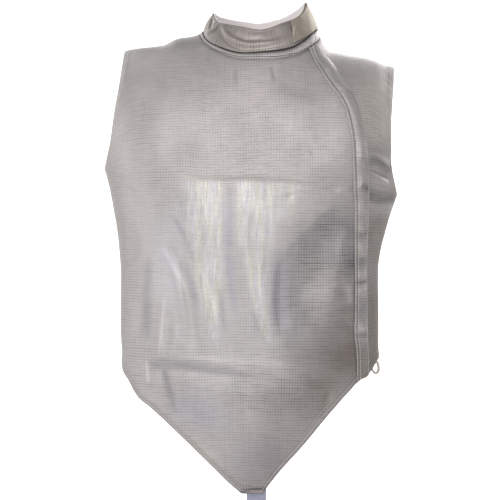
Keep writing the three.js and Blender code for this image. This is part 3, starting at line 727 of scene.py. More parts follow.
# Folds of the front, in x and z as seen from the front.
frontFolds = [
    # the chest: cloth hangs over from the chest and breaks along a level line
    stroke(13, 0.9, (-104, -195), (-40, -193), (20, -195), (84, -202), lean=-0.3),
    stroke(10, -0.8, (-104, -205), (-40, -203), (25, -205), (92, -212), lean=0.3),
    # the waist on the wearer's left: the belly falls away towards the flap, over a broad hollow
    stroke(50, -5.0, (122, -224), (104, -262), (84, -318), (76, -380), (90, -430), lean=0.3, fade=0.3),
    stroke(12, -1.2, (42, -286), (36, -330), (34, -380), (42, -430), lean=-0.3),
    stroke(24, 2.2, (66, -350), (96, -366), (132, -362)),
    stroke(16, -2.0, (118, -392), (140, -408), (139, -436)),
    stroke(8, 1.6, (134, -340), (133, -372)),
    stroke(9, 1.1, (128, -262), (120, -296), (124, -324)),
    stroke(6, -1.2, (112, -380), (134, -372)),
    # streaks that hang from the chest over the belly
    stroke(10, 0.8, (-70, -214), (-66, -262), (-70, -330), (-84, -380)),
    stroke(10, -0.9, (-35, -210), (-35, -262), (-31, -330), (-18, -396)),
    stroke(12, 1.1, (-12, -210), (-13, -270), (-4, -340), (16, -420)),
    stroke(9, 0.8, (12, -214), (10, -290), (10, -350), (21, -426)),
    stroke(9, 0.9, (-58, -214), (-56, -300), (-54, -360), (-56, -416)),
    # drags towards the right hip
    stroke(8, 2.0, (-117, -300), (-106, -340), (-97, -378)),
    stroke(6, 2.4, (-122, -386), (-126, -420), (-131, -452)),
    stroke(7, 0.8, (-106, -396), (-112, -430), (-114, -450)),
    stroke(11, -2.8, (-142, -362), (-149, -398), (-157, -436)),
    stroke(11, -2.4, (-96, -336), (-88, -380), (-80, -440)),
    stroke(9, -1.8, (-126, -283), (-112, -312), (-104, -342)),
    stroke(9, 1.5, (-17, -356), (4, -392), (24, -427)),
    # the level fold above the hips
    stroke(11, 1.8, (-146, -446), (-96, -450), (-26, -455), (40, -462), (104, -474), lean=-0.2),
    stroke(12, -2.8, (-148, -460), (-96, -462), (-28, -468), (42, -474), (106, -484), lean=0.3, start=0.08,
           end=0.6),
    # small ones
    stroke(4.5, 1.2, (-148, -448), (-147, -484)),
    stroke(8, -2.2, (-126, -462), (-120, -486), (-112, -520)),
    stroke(7, 1.2, (112, -218), (138, -212), lean=-0.3),
    stroke(5, -0.9, (44, -227), (54, -221)),
    stroke(5, 0.5, (69, -152), (79, -173)),
    stroke(4, 0.8, (-64, -507), (-57, -522)),
    stroke(4, -1.0, (-25, -38), (-25, -64)),
    stroke(4, -0.9, (24, -36), (29, -60)),
    # the point: one long soft fold towards it from each hip
    stroke(10, -1.6, (103, -484), (94, -518), (62, -560), start=0.2),
    stroke(16, -0.8, (-96, -500), (-60, -540), (-20, -600)),
    # the shoulders and the sides of the chest
    stroke(18, -1.0, (-150, -60), (-168, -110), (-182, -160)),
    stroke(20, 0.8, (-110, -40), (-128, -100), (-150, -165), (-170, -215)),
    stroke(16, -1.4, (-188, -196), (-160, -232), (-140, -280)),
    stroke(16, -1.2, (-176, -250), (-168, -320), (-172, -390)),
    # the side panel, beside the flap
    stroke(9, 2.0, (160, -168), (180, -176), (196, -188), lean=-0.4),
    stroke(8, -3.6, (160, -184), (180, -192), (194, -198), lean=-0.3),
    stroke(9, 1.8, (162, -206), (180, -208), (196, -208), lean=-0.3),
    stroke(13, -2.6, (160, -232), (182, -226), (196, -222), lean=0.3),
    stroke(10, -1.3, (164, -330), (172, -300), (176, -262)),
    stroke(8, 1.0, (166, -430), (168, -380), (164, -340)),
]

# Faint tints of the painted shade and light on the steel.
lavender = (0.98, 0.985, 1.03)
cool = (0.985, 0.995, 1.015)
warmTint = (1.02, 1.0, 0.97)
rose = (1.01, 0.985, 1.0)
backFolds = [
    stroke(26, -3.1, (-104, -120), (-40, -150), (30, -152), (110, -128)),
    stroke(18, 2.5, (-150, -70), (-120, -150), (-108, -230)),
    stroke(18, 2.4, (146, -84), (120, -160), (104, -240)),
    stroke(20, -4.2, (-120, -236), (-40, -262), (60, -258), (126, -238), lean=0.3),
    stroke(15, 2.2, (-128, -220), (-30, -244), (70, -240), (130, -222)),
    stroke(12, -3.1, (-64, -276), (-72, -340), (-60, -400)),
    stroke(11, 2.7, (-24, -272), (-18, -336), (-28, -402)),
    stroke(12, -2.9, (18, -270), (26, -330), (18, -410)),
    stroke(12, 2.5, (70, -268), (64, -340), (82, -398)),
    stroke(14, -3.1, (-140, -290), (-146, -350), (-130, -420)),
    stroke(14, -3.1, (132, -280), (140, -340), (122, -420)),
    stroke(13, -2.8, (-150, -428), (-60, -436), (40, -430), (130, -424), lean=0.3),
    stroke(8, -1.7, (-14, 0), (-16, -40)),
    stroke(8, -1.5, (40, 0), (44, -36)),
]

cloth = dict(wall=1.3, broad=34, uneven=0.5, fine=11, crinkle=0.12, seeds=dict(front=5, back=9),
             sewnReach=10, sewnShare=0.35)  # the folds die away to this share at the sewn edges


def reliefOf(half, x, z):  # the folds of one half, and the slight lumpiness of thin cloth over a body
    seed = cloth["seeds"][half]
    broad = softNoise(x, z, cloth["broad"], seed) * cloth["uneven"]
    fine = softNoise(x, z, cloth["fine"], seed + 1) * cloth["crinkle"]
    return foldRelief(x, z, frontFolds if half == "front" else backFolds) + broad + fine


# A facing is turned under and stitched round the neck.
# The band is shaded by a painted shadow in the collar's seam just outside it, and is darker along its
# stitches; lit is a painted highlight on the raised band.
neckBand = dict(width=6, raised=1.3, step=(-0.6, 1.4), edge=0.6, edgeWidth=0.9, darkening=0.55, stitchDarkening=0.42,
                mostDarkening=0.6, lit=0.42, yarn=0.95)


def bandShare(points, half, grow):  # 1 on the line a given distance outside the neck seam
    aside = (points[..., 0] - neck["x"]) / (neck["halfWidth"] + grow)
    return neckSize(aside, points[..., 1] / (neck[half] + grow))


def outsideBand(points, half):  # distance outside the band's stitches
    return (bandShare(points, half, neckBand["width"]) - 1) * neck["halfWidth"]


def bandRelief(points, half):
    away = outsideBand(points, half)
    sunk = neckBand["edge"] * bell(away, 0.2, neckBand["edgeWidth"])
    return neckBand["raised"] * (1 - smoothstep(away, *neckBand["step"])) - sunk


def bandShading(finishAndShade, points, half):  # a painted shadow along the collar's seam, darker along the band's stitches, and a painted highlight on the raised band
    away = outsideBand(points, half)
    darkening = neckBand["darkening"] * bell(away, 0.7, 1.2)
    darkening += neckBand["stitchDarkening"] * bell(away, -neckBand["width"], 1.4)
    darken(finishAndShade, np.clip(darkening, 0, neckBand["mostDarkening"]) - neckBand["lit"] * bell(away, -2.8, 1.9))
    finishAndShade["yarn"] = np.maximum(finishAndShade["yarn"], neckBand["yarn"] * (1 - smoothstep(away, -1.2, 0.4)))


# Hems are turned up to a stitch line, and the front's further on the wearer's left.
hem = dict(
    over=(-60, 20), front=(6, 10), back=(8.5, 8.5), thick=0.7, groove=0.55, pucker=0.55, puckerSize=6.5,
    armhole=8.0, armholeThick=0.25, armholeGroove=0.12, armholeDarkening=0.2, footMargin=0.02,
    darkening=[(0, 0.24, 1.4), (-3.4, 0.16, 1.2)],  # each place from the stitches, how much darker it is, and its width
    edgeDarkening=0.22,
)


def hemWidthOf(half, x):
    return np.interp(x, hem["over"], hem[half])


def hemDarkening(finishAndShade, gap, width):  # darker along the hem's stitches and its edge
    darkening = sum(shade * bell(gap, width + place, reach) for place, shade, reach in hem["darkening"])
    darken(finishAndShade, darkening + hem["edgeDarkening"] * bell(gap, 0, 1.6))


def hemRelief(gap, along, width, seed, thick=hem["thick"], groove=hem["groove"]):
    # a turned hem: thicker to its stitch line, sunk at the stitches, and puckered beside them
    band = thick * (1 - smoothstep(gap, width + 0.4, width + 3.2))
    pucker = softNoise(along, gap * 0.4, hem["puckerSize"], seed) * hem["pucker"] * bell(gap, width, 5)
    return band - groove * bell(gap, width, 1.1) + pucker


def buildPanel(name, look, first, last, tops, bottoms, weaveColumn=None):
    # one panel between two edges: look says which half it lies on, the seed of each turned armhole
    # edge, and the side that the flap lies along
    half, armholes = look["half"], look["armholes"]
    at, across = gridBetween(half, first, last, tops, bottoms, look["rows"])
    points, normals = liesOn(half, at, across)
    x, z = points[..., 0], points[..., 2]
    over, down = alongRows(points), alongColumns(points)
    gaps = dict(first=over, last=over[:, -1:] - over, top=down, hem=(down[-1:] - down) / hemSlope(points))

    free = smoothstep(gaps["hem"], 0, cloth["sewnReach"])
    for edge in armholes:
        free = free * smoothstep(gaps[edge], 0, cloth["sewnReach"])
    relief = reliefOf(half, x, z) * (cloth["sewnShare"] + (1 - cloth["sewnShare"]) * free)
    hemWidth = hemWidthOf(half, x)
    relief += hemRelief(gaps["hem"], over, hemWidth, look["hemSeed"]) + bandRelief(points, half)
    byArmhole = at < foot + hem["footMargin"]
    for edge, seed in armholes.items():
        relief += byArmhole * hemRelief(gaps[edge], down, hem["armhole"], seed, hem["armholeThick"],
                                        hem["armholeGroove"])
    shaped = points + normals * relief[..., None]

    finishAndShade = finishAndShadingOf(x, z, look)
    bandShading(finishAndShade, points, half)
    if "flapSide" in look:  # a painted shadow: the cloth is darker in the crease along the flap's edge
        darken(finishAndShade, look["flapEdgeShadow"] * bell(gaps[look["flapSide"]] - closing["flap"](at), 0.5, 1.3))
    # darker along the armholes' edges
    for edge in armholes:
        darken(finishAndShade, hem["armholeDarkening"] * bell(gaps[edge], 0, 2.2) * byArmhole)
    hemDarkening(finishAndShade, gaps["hem"], hemWidth)
    if weaveColumn is None:  # the column nearest the middle of the body
        weaveColumn = int(np.argmin(np.abs(x[len(x) // 2])))
    piece = clothShell(name, shaped, normals, cloth["wall"], lameCloth, weaveOf(points, weaveColumn), finishAndShade)
    print(name, shaped.shape)
    return dict(piece=piece, half=half, points=shaped, normals=normalsOf(shaped, half), gaps=gaps)


def refine(values, split):  # splits every step of a list into so many
    return np.interp(np.arange((len(values) - 1) * split + 1) / split, np.arange(len(values)), values)


def spread(stops, counts):  # so many even steps between each stop and the next
    values = [stops[0]]
    for start, end, count in zip(stops, stops[1:], counts):
        values += [start + (end - start) * (k + 1) / count for k in range(count)]
    return values


def neckXs(turns):
    return neck["x"] - neck["halfWidth"] * np.cos(turns)


split = 6  # columns to each step of the counts below
tipRight, tipLeft = xOfEdge(rightEdge, 0), xOfEdge(leftEdge, 0)
hipRight, hipLeft = xOfEdge(rightEdge, hip), xOfEdge(leftEdge, hip)

# How the front's cloth is coloured, with its light and shade painted in. The belly and a strip down from the
# chest carry a painted sheen in streaks, where they are also a little smoother; the hollow of the waist, the
# side by the flap and the point are painted in shade.
frontPanel = dict(
    half="front", rows=205, hemSeed=21, armholes=dict(first=31), flapSide="last", flapEdgeShadow=0.26,
    yarn=0.56,
    # painted light and shade: each stroke lights or shades the cloth where its folds and hollows meet the
    # light
    paintedShading=[
        stroke(36, -0.09, (46, -300), (80, -282), (112, -262), (142, -250), tint=cool, flat=0.1, lean=-0.1,
               start=0.35, end=0.05),
        stroke(26, -0.12, (84, -300), (112, -312), (142, -322), tint=cool, end=0.05),
        stroke(22, 0.07, (26, -238), (62, -264)),
        stroke(20, -0.12, (136, -246), (136, -346), tint=cool),
        stroke(46, -0.1, (60, -370), (90, -420), (100, -450)),
        stroke(50, -0.04, (140, -380), (120, -440), (80, -520), tint=warmTint, fade=0.2),
        stroke(16, -0.06, (36, -290), (34, -366), (42, -430), tint=lavender),
        stroke(100, -0.3, (160, -290), (130, -390), (100, -470), (50, -560), (0, -660), tint=rose,
               lean=-0.1, start=0.4, end=0.02, taper=0.8),
        stroke(60, 0.07, (-150, -56), (-40, -66), (60, -70), (150, -60), fade=0.2),
        stroke(44, 0.09, (-50, -60), (40, -66), fade=0.4),
        stroke(150, 0.02, (-60, -190), (-50, -300), (-60, -500), tint=cool, flat=0.3, fade=0.2),
        stroke(40, 0.05, (-66, -200), (-62, -300), (-58, -400), taper=0.6, flat=0.3),
        stroke(38, 0.05, (0, -200), (4, -300), (14, -390), taper=0.6, flat=0.3),
        stroke(30, 0.09, (-116, -226), (-120, -320), (-114, -400), tint=lavender),
        # the drags over the belly, each a lit ridge beside a shaded trough
        stroke(5, 0.14, (-117, -292), (-108, -312), (-101, -342)),
        stroke(16, -0.06, (-96, -214), (-96, -270), tint=lavender),
        stroke(6, -0.1, (-34, -206), (-33, -300), tint=lavender, fade=0.1),
        stroke(8, -0.1, (30, -284), (26, -340), (34, -420), tint=lavender),
        stroke(6, -0.15, (-118, -244), (-104, -264), (-92, -290), (-82, -320), tint=lavender, fade=0.2),
        stroke(10, -0.13, (-103, -306), (-88, -340), (-76, -384), tint=lavender),
        stroke(5, 0.12, (-84, -308), (-61, -352), (-52, -410)),
        stroke(6, -0.15, (-54, -330), (-46, -366), (-40, -416), tint=lavender, fade=0.3),
        stroke(4.5, 0.2, (-122, -352), (-127, -392), (-131, -448)),
        stroke(8, 0.07, (-112, -372), (-104, -410), (-92, -438)),
        stroke(11, -0.16, (-146, -300), (-150, -372), (-148, -432), tint=lavender, fade=0.2),
        stroke(10, -0.06, (-33, -290), (-30, -350), (-22, -400), tint=lavender),
        stroke(4.5, 0.09, (-2, -318), (8, -358), (24, -430)),
        stroke(7, -0.07, (-6, -346), (0, -384), (6, -430), tint=lavender),
        stroke(60, 0.17, (80, -70), (110, -130), (116, -206), fade=0.25),
        stroke(60, -0.03, (-50, -120), (0, -150), (60, -160), fade=0.4),
        stroke(80, -0.1, (20, -110), (-20, -190), fade=0.5),
        stroke(60, -0.08, (-110, -120), (-60, -180), fade=0.5),
        stroke(90, -0.14, (-60, -590), (60, -590), tint=lavender, fade=0.3),
        stroke(50, 0.0, (-140, -510), (-20, -520), tint=lavender, fade=0.3),
        stroke(17, -0.1, (22, -62), (60, -80), (104, -92), tint=rose, lean=0.2),
        stroke(5, -0.13, (-25, -38), (-26, -84), start=0.05, end=0.6),
        stroke(5, -0.12, (24, -36), (30, -80), start=0.05, end=0.6),
        stroke(4, 0.07, (70, -124), (80, -154)),
        stroke(9, 0.05, (-160, -80), (-164, -150)),
        stroke(50, -0.08, (-20, -500), (60, -510), (120, -500)),
        stroke(8, -0.02, (-35, -206), (-35, -304), (-29, -366), (-14, -402), tint=lavender),
        stroke(40, -0.16, (122, -226), (84, -266), (44, -306), (28, -356), (30, -440), tint=cool,
               lean=-0.78, flat=0.25, start=0.12, end=0.3),
        stroke(30, -0.1, (62, -270), (52, -340), (60, -450), tint=cool),
        stroke(60, -0.09, (60, -300), (104, -350), (110, -440)),
        stroke(30, -0.09, (-60, -498), (20, -500), (110, -500)),
        stroke(26, -0.1, (46, -400), (54, -436), (64, -470), fade=0.4),
        stroke(30, -0.17, (10, -446), (70, -446), (146, -452)),
        stroke(24, -0.1, (-6, -212), (24, -214)),
        stroke(38, 0.13, (-190, -30), (-60, -40), (60, -46), (190, -54), fade=0.12),
        stroke(34, -0.09, (40, -392), (80, -420), (130, -440)),
        stroke(34, -0.1, (40, -476), (104, -476), (146, -462), fade=0.4),
        stroke(24, -0.16, (128, -420), (142, -456), (130, -484), tint=warmTint),
        stroke(26, -0.09, (96, -240), (86, -280)),
        stroke(20, -0.04, (138, -250), (116, -274), (106, -306), tint=cool),
        stroke(9, 0.07, (130, -272), (122, -300), (124, -322), tint=lavender),
        stroke(10, -0.1, (138, -288), (136, -330), tint=lavender),
        stroke(7, 0.12, (133, -346), (134, -372), tint=lavender, fade=0.2),
        stroke(14, -0.14, (112, -388), (136, -378), (140, -404), tint=warmTint, lean=0.2),
        stroke(32, -0.17, (126, -424), (130, -470), tint=warmTint),
        stroke(22, -0.12, (40, -400), (46, -440)),
        stroke(26, 0.08, (-136, -262), (-134, -320), (-128, -390)),
        stroke(34, 0.09, (88, -96), (112, -140), (110, -190)),
        stroke(16, 0.08, (66, -230), (86, -256)),
        stroke(34, -0.08, (-110, -150), (-50, -176), (20, -184)),
        stroke(18, -0.16, (-214, -16), (-150, -6), (-60, 2), fade=0.1),
        stroke(18, -0.14, (90, 0), (150, -16), (214, -36), fade=0.1),
        stroke(16, -0.1, (60, -478), (120, -488)),
        stroke(13, -0.2, (-150, -458), (-120, -455), (-80, -459), (-30, -468), (20, -476), (100, -484),
               tint=lavender, taper=0.4, start=0.05, end=0.7),
        stroke(6, 0.08, (-96, -444), (-50, -450), (-6, -462)),
        stroke(13, 0.1, (-96, -482), (-40, -486), (20, -492), tint=cool),
        stroke(9, 0.12, (-134, -466), (-130, -484), tint=lavender),
        stroke(7, -0.17, (103, -482), (99, -506), (91, -530), tint=warmTint),
        stroke(6, 0.08, (112, -492), (102, -524)),
        stroke(40, -0.03, (-120, -500), (-70, -530), (-30, -560), tint=lavender),
        stroke(8, -0.25, (-127, -462), (-119, -492), (-108, -530), tint=lavender, start=0.05, end=0.4),
        stroke(3.2, 0.34, (-149, -450), (-148, -484), fade=0.15),
        stroke(50, 0.02, (-60, -90), (60, -90), tint=rose, fade=0.5),
    ],
    # painted sheen, where the steel is also a little smoother
    rubbedAndSheen=[
        stroke(27, 0.9, (-70, -199), (-69, -322), flat=0.78, start=0.02, end=0.25),
        stroke(29, 0.95, (-66, -300), (-61, -360), (-54, -425), taper=0.24, flat=0.6, start=0.1, end=0.08),
        stroke(28, 0.9, (1, -199), (1, -306), flat=0.78, start=0.02, end=0.3),
        stroke(23, 0.95, (2, -286), (4, -350), (22, -429), taper=0.22, flat=0.5, start=0.12, end=0.08),
        stroke(22, 0.6, (46, -202), (44, -280), flat=0.4, start=0.04, end=0.7),
        stroke(12, 0.3, (-100, -205), (-104, -290), flat=0.3, start=0.1, end=0.6),
        stroke(9, 0.45, (-108, -290), (-100, -330), (-92, -372)),
        stroke(16, 0.3, (-74, -420), (-20, -440)),
        stroke(24, 0.4, (40, -97), (62, -136)),
        stroke(8, 0.6, (-118, -300), (-106, -340), (-98, -376)),
        stroke(6, 0.8, (-122, -386), (-131, -452)),
        stroke(6, 0.5, (-106, -396), (-113, -436)),
        stroke(14, 0.25, (-75, -486), (30, -500)),
    ],
    # how strongly the check shows: painted stronger in the shaded hollow and low down, fainter on the lit
    # upper left and under the painted sheen
    yarns=[
        stroke(60, 0.5, (70, -256), (104, -306), (126, -350), flat=0.4),
        stroke(60, 0.25, (40, -350), (120, -400)),
        stroke(46, 0.4, (-60, -490), (120, -500)),
        stroke(50, 0.1, (60, -120), (110, -180)),
        stroke(70, -0.4, (-190, -60), (-100, -50), fade=0.5),
        stroke(90, -0.3, (-96, -206), (-90, -320), (-90, -440), flat=0.4),
        stroke(60, -0.2, (0, -206), (0, -300), flat=0.4),
        stroke(40, -0.25, (-180, -120), (-160, -330)),
    ],
)

lastTurn = math.acos((neck["x"] - xOfEdge(closeRight, 0)) / neck["halfWidth"])
frontTops = np.concatenate([
    np.linspace(tipRight, neckRight, 8 * split, endpoint=False),
    neckXs(np.linspace(0, lastTurn, 18 * split + 1)),
])
frontHems = spread([hipRight, -161, -23, -17, 12, 17, xOfEdge(closeRight, hip)], [4, 8, 1, 2, 1, 10])
front = buildPanel("frontPanelCloth", frontPanel, rightEdge, closeRight, frontTops, refine(frontHems, split))

# The narrow left side of the front.
sidePanel = dict(
    half="front", rows=165, columns=44, hemSeed=22, armholes=dict(last=32), flapSide="first",
    flapEdgeShadow=0.26,
    yarn=0.6, base=0.97,
    # painted light and shade: lit at the top, shaded in its folds and down the side by the flap
    paintedShading=[
        stroke(60, 0.27, (180, -40), (178, -160), tint=warmTint, fade=0.25),
        stroke(11, -0.36, (160, -168), (176, -176), (192, -188), fade=0.1, lean=0.2),
        stroke(8, 0.07, (160, -202), (190, -204), fade=0.1),
        stroke(15, -0.42, (156, -222), (178, -226), (204, -224), fade=0.1, lean=-0.3),
        stroke(60, -0.31, (180, -236), (172, -480), tint=warmTint, fade=0.1),
        stroke(40, -0.2, (176, -330), (174, -480), tint=warmTint, end=0.02),
    ],
)

side = buildPanel("leftSideCloth", sidePanel, closeLeft, leftEdge,
                  np.linspace(xOfEdge(closeLeft, 0), tipLeft, sidePanel["columns"]),
                  np.linspace(xOfEdge(closeLeft, hip), hipLeft, sidePanel["columns"]))

# The back, with a level hem. Its columns are spaced apart from the rest within sideTurn of each side.
backPanel = dict(
    half="back", rows=150, hemSeed=23, armholes=dict(first=33, last=34), sideTurn=39,
    yarn=0.6,
    # painted shade low on the back and painted light high on it; two patches of painted sheen follow, where
    # the steel is also a little smoother
    paintedShading=[
        stroke(90, -0.06, (-60, -300), (60, -296), tint=cool, fade=0.5),
        stroke(120, 0.03, (0, -60), (0, -180), fade=0.5),
    ],
    rubbedAndSheen=[
        stroke(26, 0.4, (-70, -150), (-60, -220)),
        stroke(24, 0.35, (70, -140), (64, -210)),
    ],
)

backTops = np.concatenate([
    np.linspace(tipRight, neckRight, 7 * split, endpoint=False),
    neckXs(np.linspace(0, math.pi, 14 * split + 1)),
    np.linspace(neckLeft, tipLeft, 7 * split + 1)[1:],
])
turn = backPanel["sideTurn"]
backHems = spread([hipRight, hipRight + turn, hipLeft - turn, hipLeft], [6, 16, 6])
back = buildPanel("backPanelCloth", backPanel, rightEdge, leftEdge, backTops, refine(backHems, split),
                  weaveColumn=14 * split)

# The closing flap, sewn down on both sides over the zip.
flap = dict(
    clear=0.7, wall=1.2, columns=41, rows=340, first=6.4, neckLevel=0.3, neckFade=0.12, hemFade=0.6,
    weaveHalf=11, follow=0.9, crown=0.9, crownAt=(0.22, 0.62), crinkle=0.35, crinkleSize=12, sunk=0.35,
    seams=[(-0.72, 0.28, 0.07), (-0.28, 0.14, 0.06), (0.8, 0.14, 0.06)],  # painted shade along the stitch grooves: place across, shade, width
    stitched=[(-0.92, 0.07), (0.93, 0.07), (-0.5, 0.08)],  # place across and width of each sunk row
    # cross ripples, steeper on their lower side. Each runs so far to both sides of the closing line,
    # lower at its right end and higher at its left one
    rippleReach=26, rippleRise=1.5, rippleDrop=(-6, 5),
    ripples=[  # from above down: x and z at the closing line, the rise and the width
        (95, -42, 1.3, 18), (112, -104, 0.7, 22), (146, -166, 1.5, 22), (150, -207, 1.4, 13),
        (150, -240, 0.8, 18), (150, -266, 1.2, 14), (150, -298, 1.3, 15), (149, -335, 1.2, 11),
        (149, -356, 1.2, 11), (149, -380, 0.5, 10), (150, -404, 1.1, 10), (151, -436, 0.5, 14),
    ],
)


def closingStations(count, start, end):  # stations an even distance apart down the closing line
    stations = start + (end - start) * np.linspace(0, 1, detail["closing"]) ** detail["crowding"]
    reach = alongColumns(formPoint("front", stations, closingAcross(stations, 0)))
    return np.interp(np.linspace(0, reach[-1], count), reach, stations)


def stripGrid(halfOf, columns, rows, clear, lift=0.0):
    # rows square across the closing line, from the neck's band to the hem, which end along both
    shares = np.linspace(-1, 1, columns)
    neckHalf = halfOf(flap["neckLevel"])
    tops, ends = np.array([(
        float(neckCrossing("front", lambda at: closingAcross(at, min(share, 0) * neckHalf), 1, clear)[0]),
        float(hemCrossing("front", lambda at: closingAcross(at, share * halfOf(hip)), 1)[0]) - lift,
    ) for share in shares]).T
    start, end = tops[columns // 2], ends[columns // 2]
    stations = closingStations(rows, start, end)[:, None]
    at = stations + (1 - smoothstep(stations, start, start + flap["neckFade"])) * (tops - start)
    at = at + smoothstep(stations, end - flap["hemFade"], end) * (ends - end)
    return at, closingAcross(at, shares * halfOf(at))


def flapRelief(x, z, share, down):
    # the flap stands up between its stitch rows and ripples all the way down
    stand = np.clip((1 - share ** 2) / 0.9, 0, 1) * smoothstep(share, -0.75, 0.1)
    groove = sum(bell(share, place, width) for place, width in flap["stitched"])
    middle, half = flap["crownAt"]
    crown = flap["crown"] * np.clip(1 - ((share - middle) / half) ** 2, 0, 1)
    reach, (start, end) = flap["rippleReach"], flap["rippleDrop"]
    ripples = softNoise(down, share * 4, flap["crinkleSize"], 71) * flap["crinkle"] + foldRelief(x, z, [
        stroke(width, flap["rippleRise"] * rise, (x0 - reach, z0 + start), (x0, z0), (x0 + reach, z0 + end),
               lean=-0.4, fade=0.18)
        for x0, z0, rise, width in flap["ripples"]])
    return crown + ripples * stand - flap["sunk"] * groove


flapShading = dict(
    yarn=0.6, base=0.93,
    # painted light and shade down the flap, each lit or shaded by how it puffs and folds
    paintedShading=[
        stroke(12, 0.15, (96, -44), (104, -72)),
        stroke(19, 0.14, (136, -148), (158, -146)),
        stroke(15, 0.04, (136, -184), (160, -182)),
        stroke(8, -0.42, (146, -209), (162, -212), fade=0.1),
        stroke(19, 0.12, (136, -240), (162, -240)),
        stroke(8, -0.24, (136, -280), (162, -270)),
        stroke(10, 0.11, (136, -292), (162, -290)),
        stroke(13, -0.21, (136, -314), (162, -310), tint=lavender),
        stroke(7, 0.2, (136, -332), (162, -330)),
        stroke(6, -0.27, (136, -343), (162, -340)),
        stroke(7, 0.15, (136, -353), (162, -350)),
        stroke(22, -0.15, (136, -382), (162, -380), tint=lavender),
        stroke(6, 0.08, (136, -409), (162, -406)),
        stroke(5, -0.27, (136, -417), (162, -415)),
        stroke(30, -0.3, (150, -420), (151, -485), tint=warmTint, start=0.3, end=0.02),
    ],
)


def buildFlap():
    at, across = stripGrid(closing["flap"], flap["columns"], flap["rows"], flap["first"])
    points, normals = liesOn("front", at, across)
    x, z = points[..., 0], points[..., 2]
    share = np.linspace(-1, 1, flap["columns"])[None, :] + 0 * x
    down = alongColumns(points)[:, flap["columns"] // 2, None] + 0 * x
    lift = flap["clear"] + flap["wall"]
    relief = reliefOf("front", x, z) * flap["follow"] + lift + flapRelief(x, z, share, down)
    shaped = points + normals * relief[..., None]
    finishAndShade = finishAndShadingOf(x, z, flapShading)
    # painted shade along the flap's stitch grooves
    darken(finishAndShade, sum(depth * bell(share, place, width) for place, depth, width in flap["seams"]))
    uv = np.stack([share * flap["weaveHalf"], -down], -1)
    piece = clothShell("closingFlapCloth", shaped, normals, flap["wall"], lameCloth, uv, finishAndShade)
    return dict(piece=piece, points=shaped, normals=normalsOf(shaped, "front"))


flapStrip = buildFlap()
print("closing flap")

# The collar, its lining and its tab. Turns are degrees round the neck, from the throat.
collar = dict(x=7.5, halfWidth=67, front=53, back=54, wall=1.5, thick=1.8, seat=1.5, lift=0.8, gap=0.4,
              belly=1.5, split=92, splitHalf=0.2, rows=26, columns=360, uneven=0.4, unevenSize=16,
              rimThick=0.35, rimGroove=0.3, rimDarkening=0.3, edgeDarkening=0.14, footSunk=0.9, footHeight=2.2)
lining = dict(wall=1.0, rows=18, foot=0.03, uneven=0.25, unevenSize=14)
tab = {"from": 40, "rake": 7, "level": 66, "to": 112, "foot": 0.1, "freeFoot": 0.15,
       "wall": 1.2, "clear": 1.4, "columns": 90, "rows": 26, "uneven": 0.5, "unevenSize": 13,
       "edgeThick": 0.3, "edgeGroove": 0.35}


def footPoint(turn, grow):  # on the neck seam, and moved outwards over it
    radians = np.radians(turn)
    aside, ahead = np.sin(radians), np.cos(radians)
    seamX = neck["x"] + neck["halfWidth"] * aside / neckSize(aside, ahead)
    across = acrossOf(np.zeros_like(seamX), seamX)
    seam = np.empty(np.shape(turn) + (3,))
    for half, mask in (("front", np.abs(turn) <= 90), ("back", np.abs(turn) > 90)):
        at = neckStation(half, seamX[mask], across[mask])
        seam[mask] = formPoint(half, at, acrossOf(at, seamX[mask]))
    return seam + np.stack([grow * aside, -grow * ahead, collar["lift"] + 0 * aside], -1)


def collarPoint(turn, height, out):  # height runs from 0 at the seam to 1 at the rim
    turn, height = np.broadcast_arrays(np.asarray(turn, float), np.asarray(height, float))
    aside, ahead = np.sin(np.radians(turn)), np.cos(np.radians(turn))
    reach = np.where(np.abs(turn) <= 90, collar["front"], collar["back"])
    start = footPoint(turn, collar["seat"] + out)
    rimX = collar["x"] + (collar["halfWidth"] + out) * aside
    rim = np.stack([rimX, -(reach + out) * ahead, neckTurns["rim"](turn)], -1)
    belly = collar["belly"] * np.sin(np.pi * height)
    puffed = np.stack([belly * aside, -belly * ahead, 0 * belly], -1)
    return start + (rim - start) * height[..., None] + puffed


# Folds, and painted light and shade, by turn in degrees and by height up the collar in millimetres.
collarFolds = [
    stroke(6, 3.0, (-54, 36), (-36, 21), (-10, 12), (14, 12), (36, 22), lean=-0.2),
    stroke(6, -1.9, (-30, 28), (-14, 21), (6, 20)),
    stroke(4, -1.8, (-50, 22), (-30, 9), (-4, 4), (16, 5)),
    stroke(3, 1.6, (-20, 3), (10, 2.5), (30, 4)),
    stroke(2.2, 1.2, (-8, 15), (6, 13), (18, 16)),
    stroke(5, 1.6, (-74, 8), (-62, 16), (-56, 30)),
    stroke(6, -1.4, (-78, 30), (-66, 14)),
    stroke(7, -1.4, (-140, 30), (-128, 10)),
    stroke(7, -1.4, (150, 34), (162, 12)),
    stroke(6, 1.1, (-178, 20), (-160, 24)),
]

collarShading = dict(
    yarn=0.62,
    # painted light and shade over the collar's folds, with a painted shadow in the seam at its foot and
    # beside the tab's free end
    paintedShading=[
        stroke(46, -0.36, (-120, 20), (-60, 18), (-30, 16), fade=0.3),
        stroke(9, -0.05, (-30, 4), (0, 2), (40, 3), (80, 4), fade=0.2),
        stroke(2.6, -0.3, (-178, 0), (-90, 0), (0, 0), (90, 0), (178, 0), fade=0.01),
        stroke(46, -0.26, (20, 20), (60, 22), (110, 24), tint=warmTint, fade=0.3),
        stroke(5, -0.12, (-40, 26), (-10, 27), (20, 26), fade=0.3),
        stroke(4, 0.1, (-34, 26), (-16, 17), (4, 15), (26, 19), fade=0.3),
        stroke(4, -0.13, (-50, 20), (-30, 12), (-8, 8), (20, 10), fade=0.3),
        stroke(8, 0.28, (-28, 6), (4, 6), (34, 7), fade=0.35),
        stroke(5, -0.25, (-68, 6), (-60, 12), fade=0.3),
        stroke(2, -0.35, (35, 12), (37.5, 30), start=0.2, end=0.05),
    ],
)

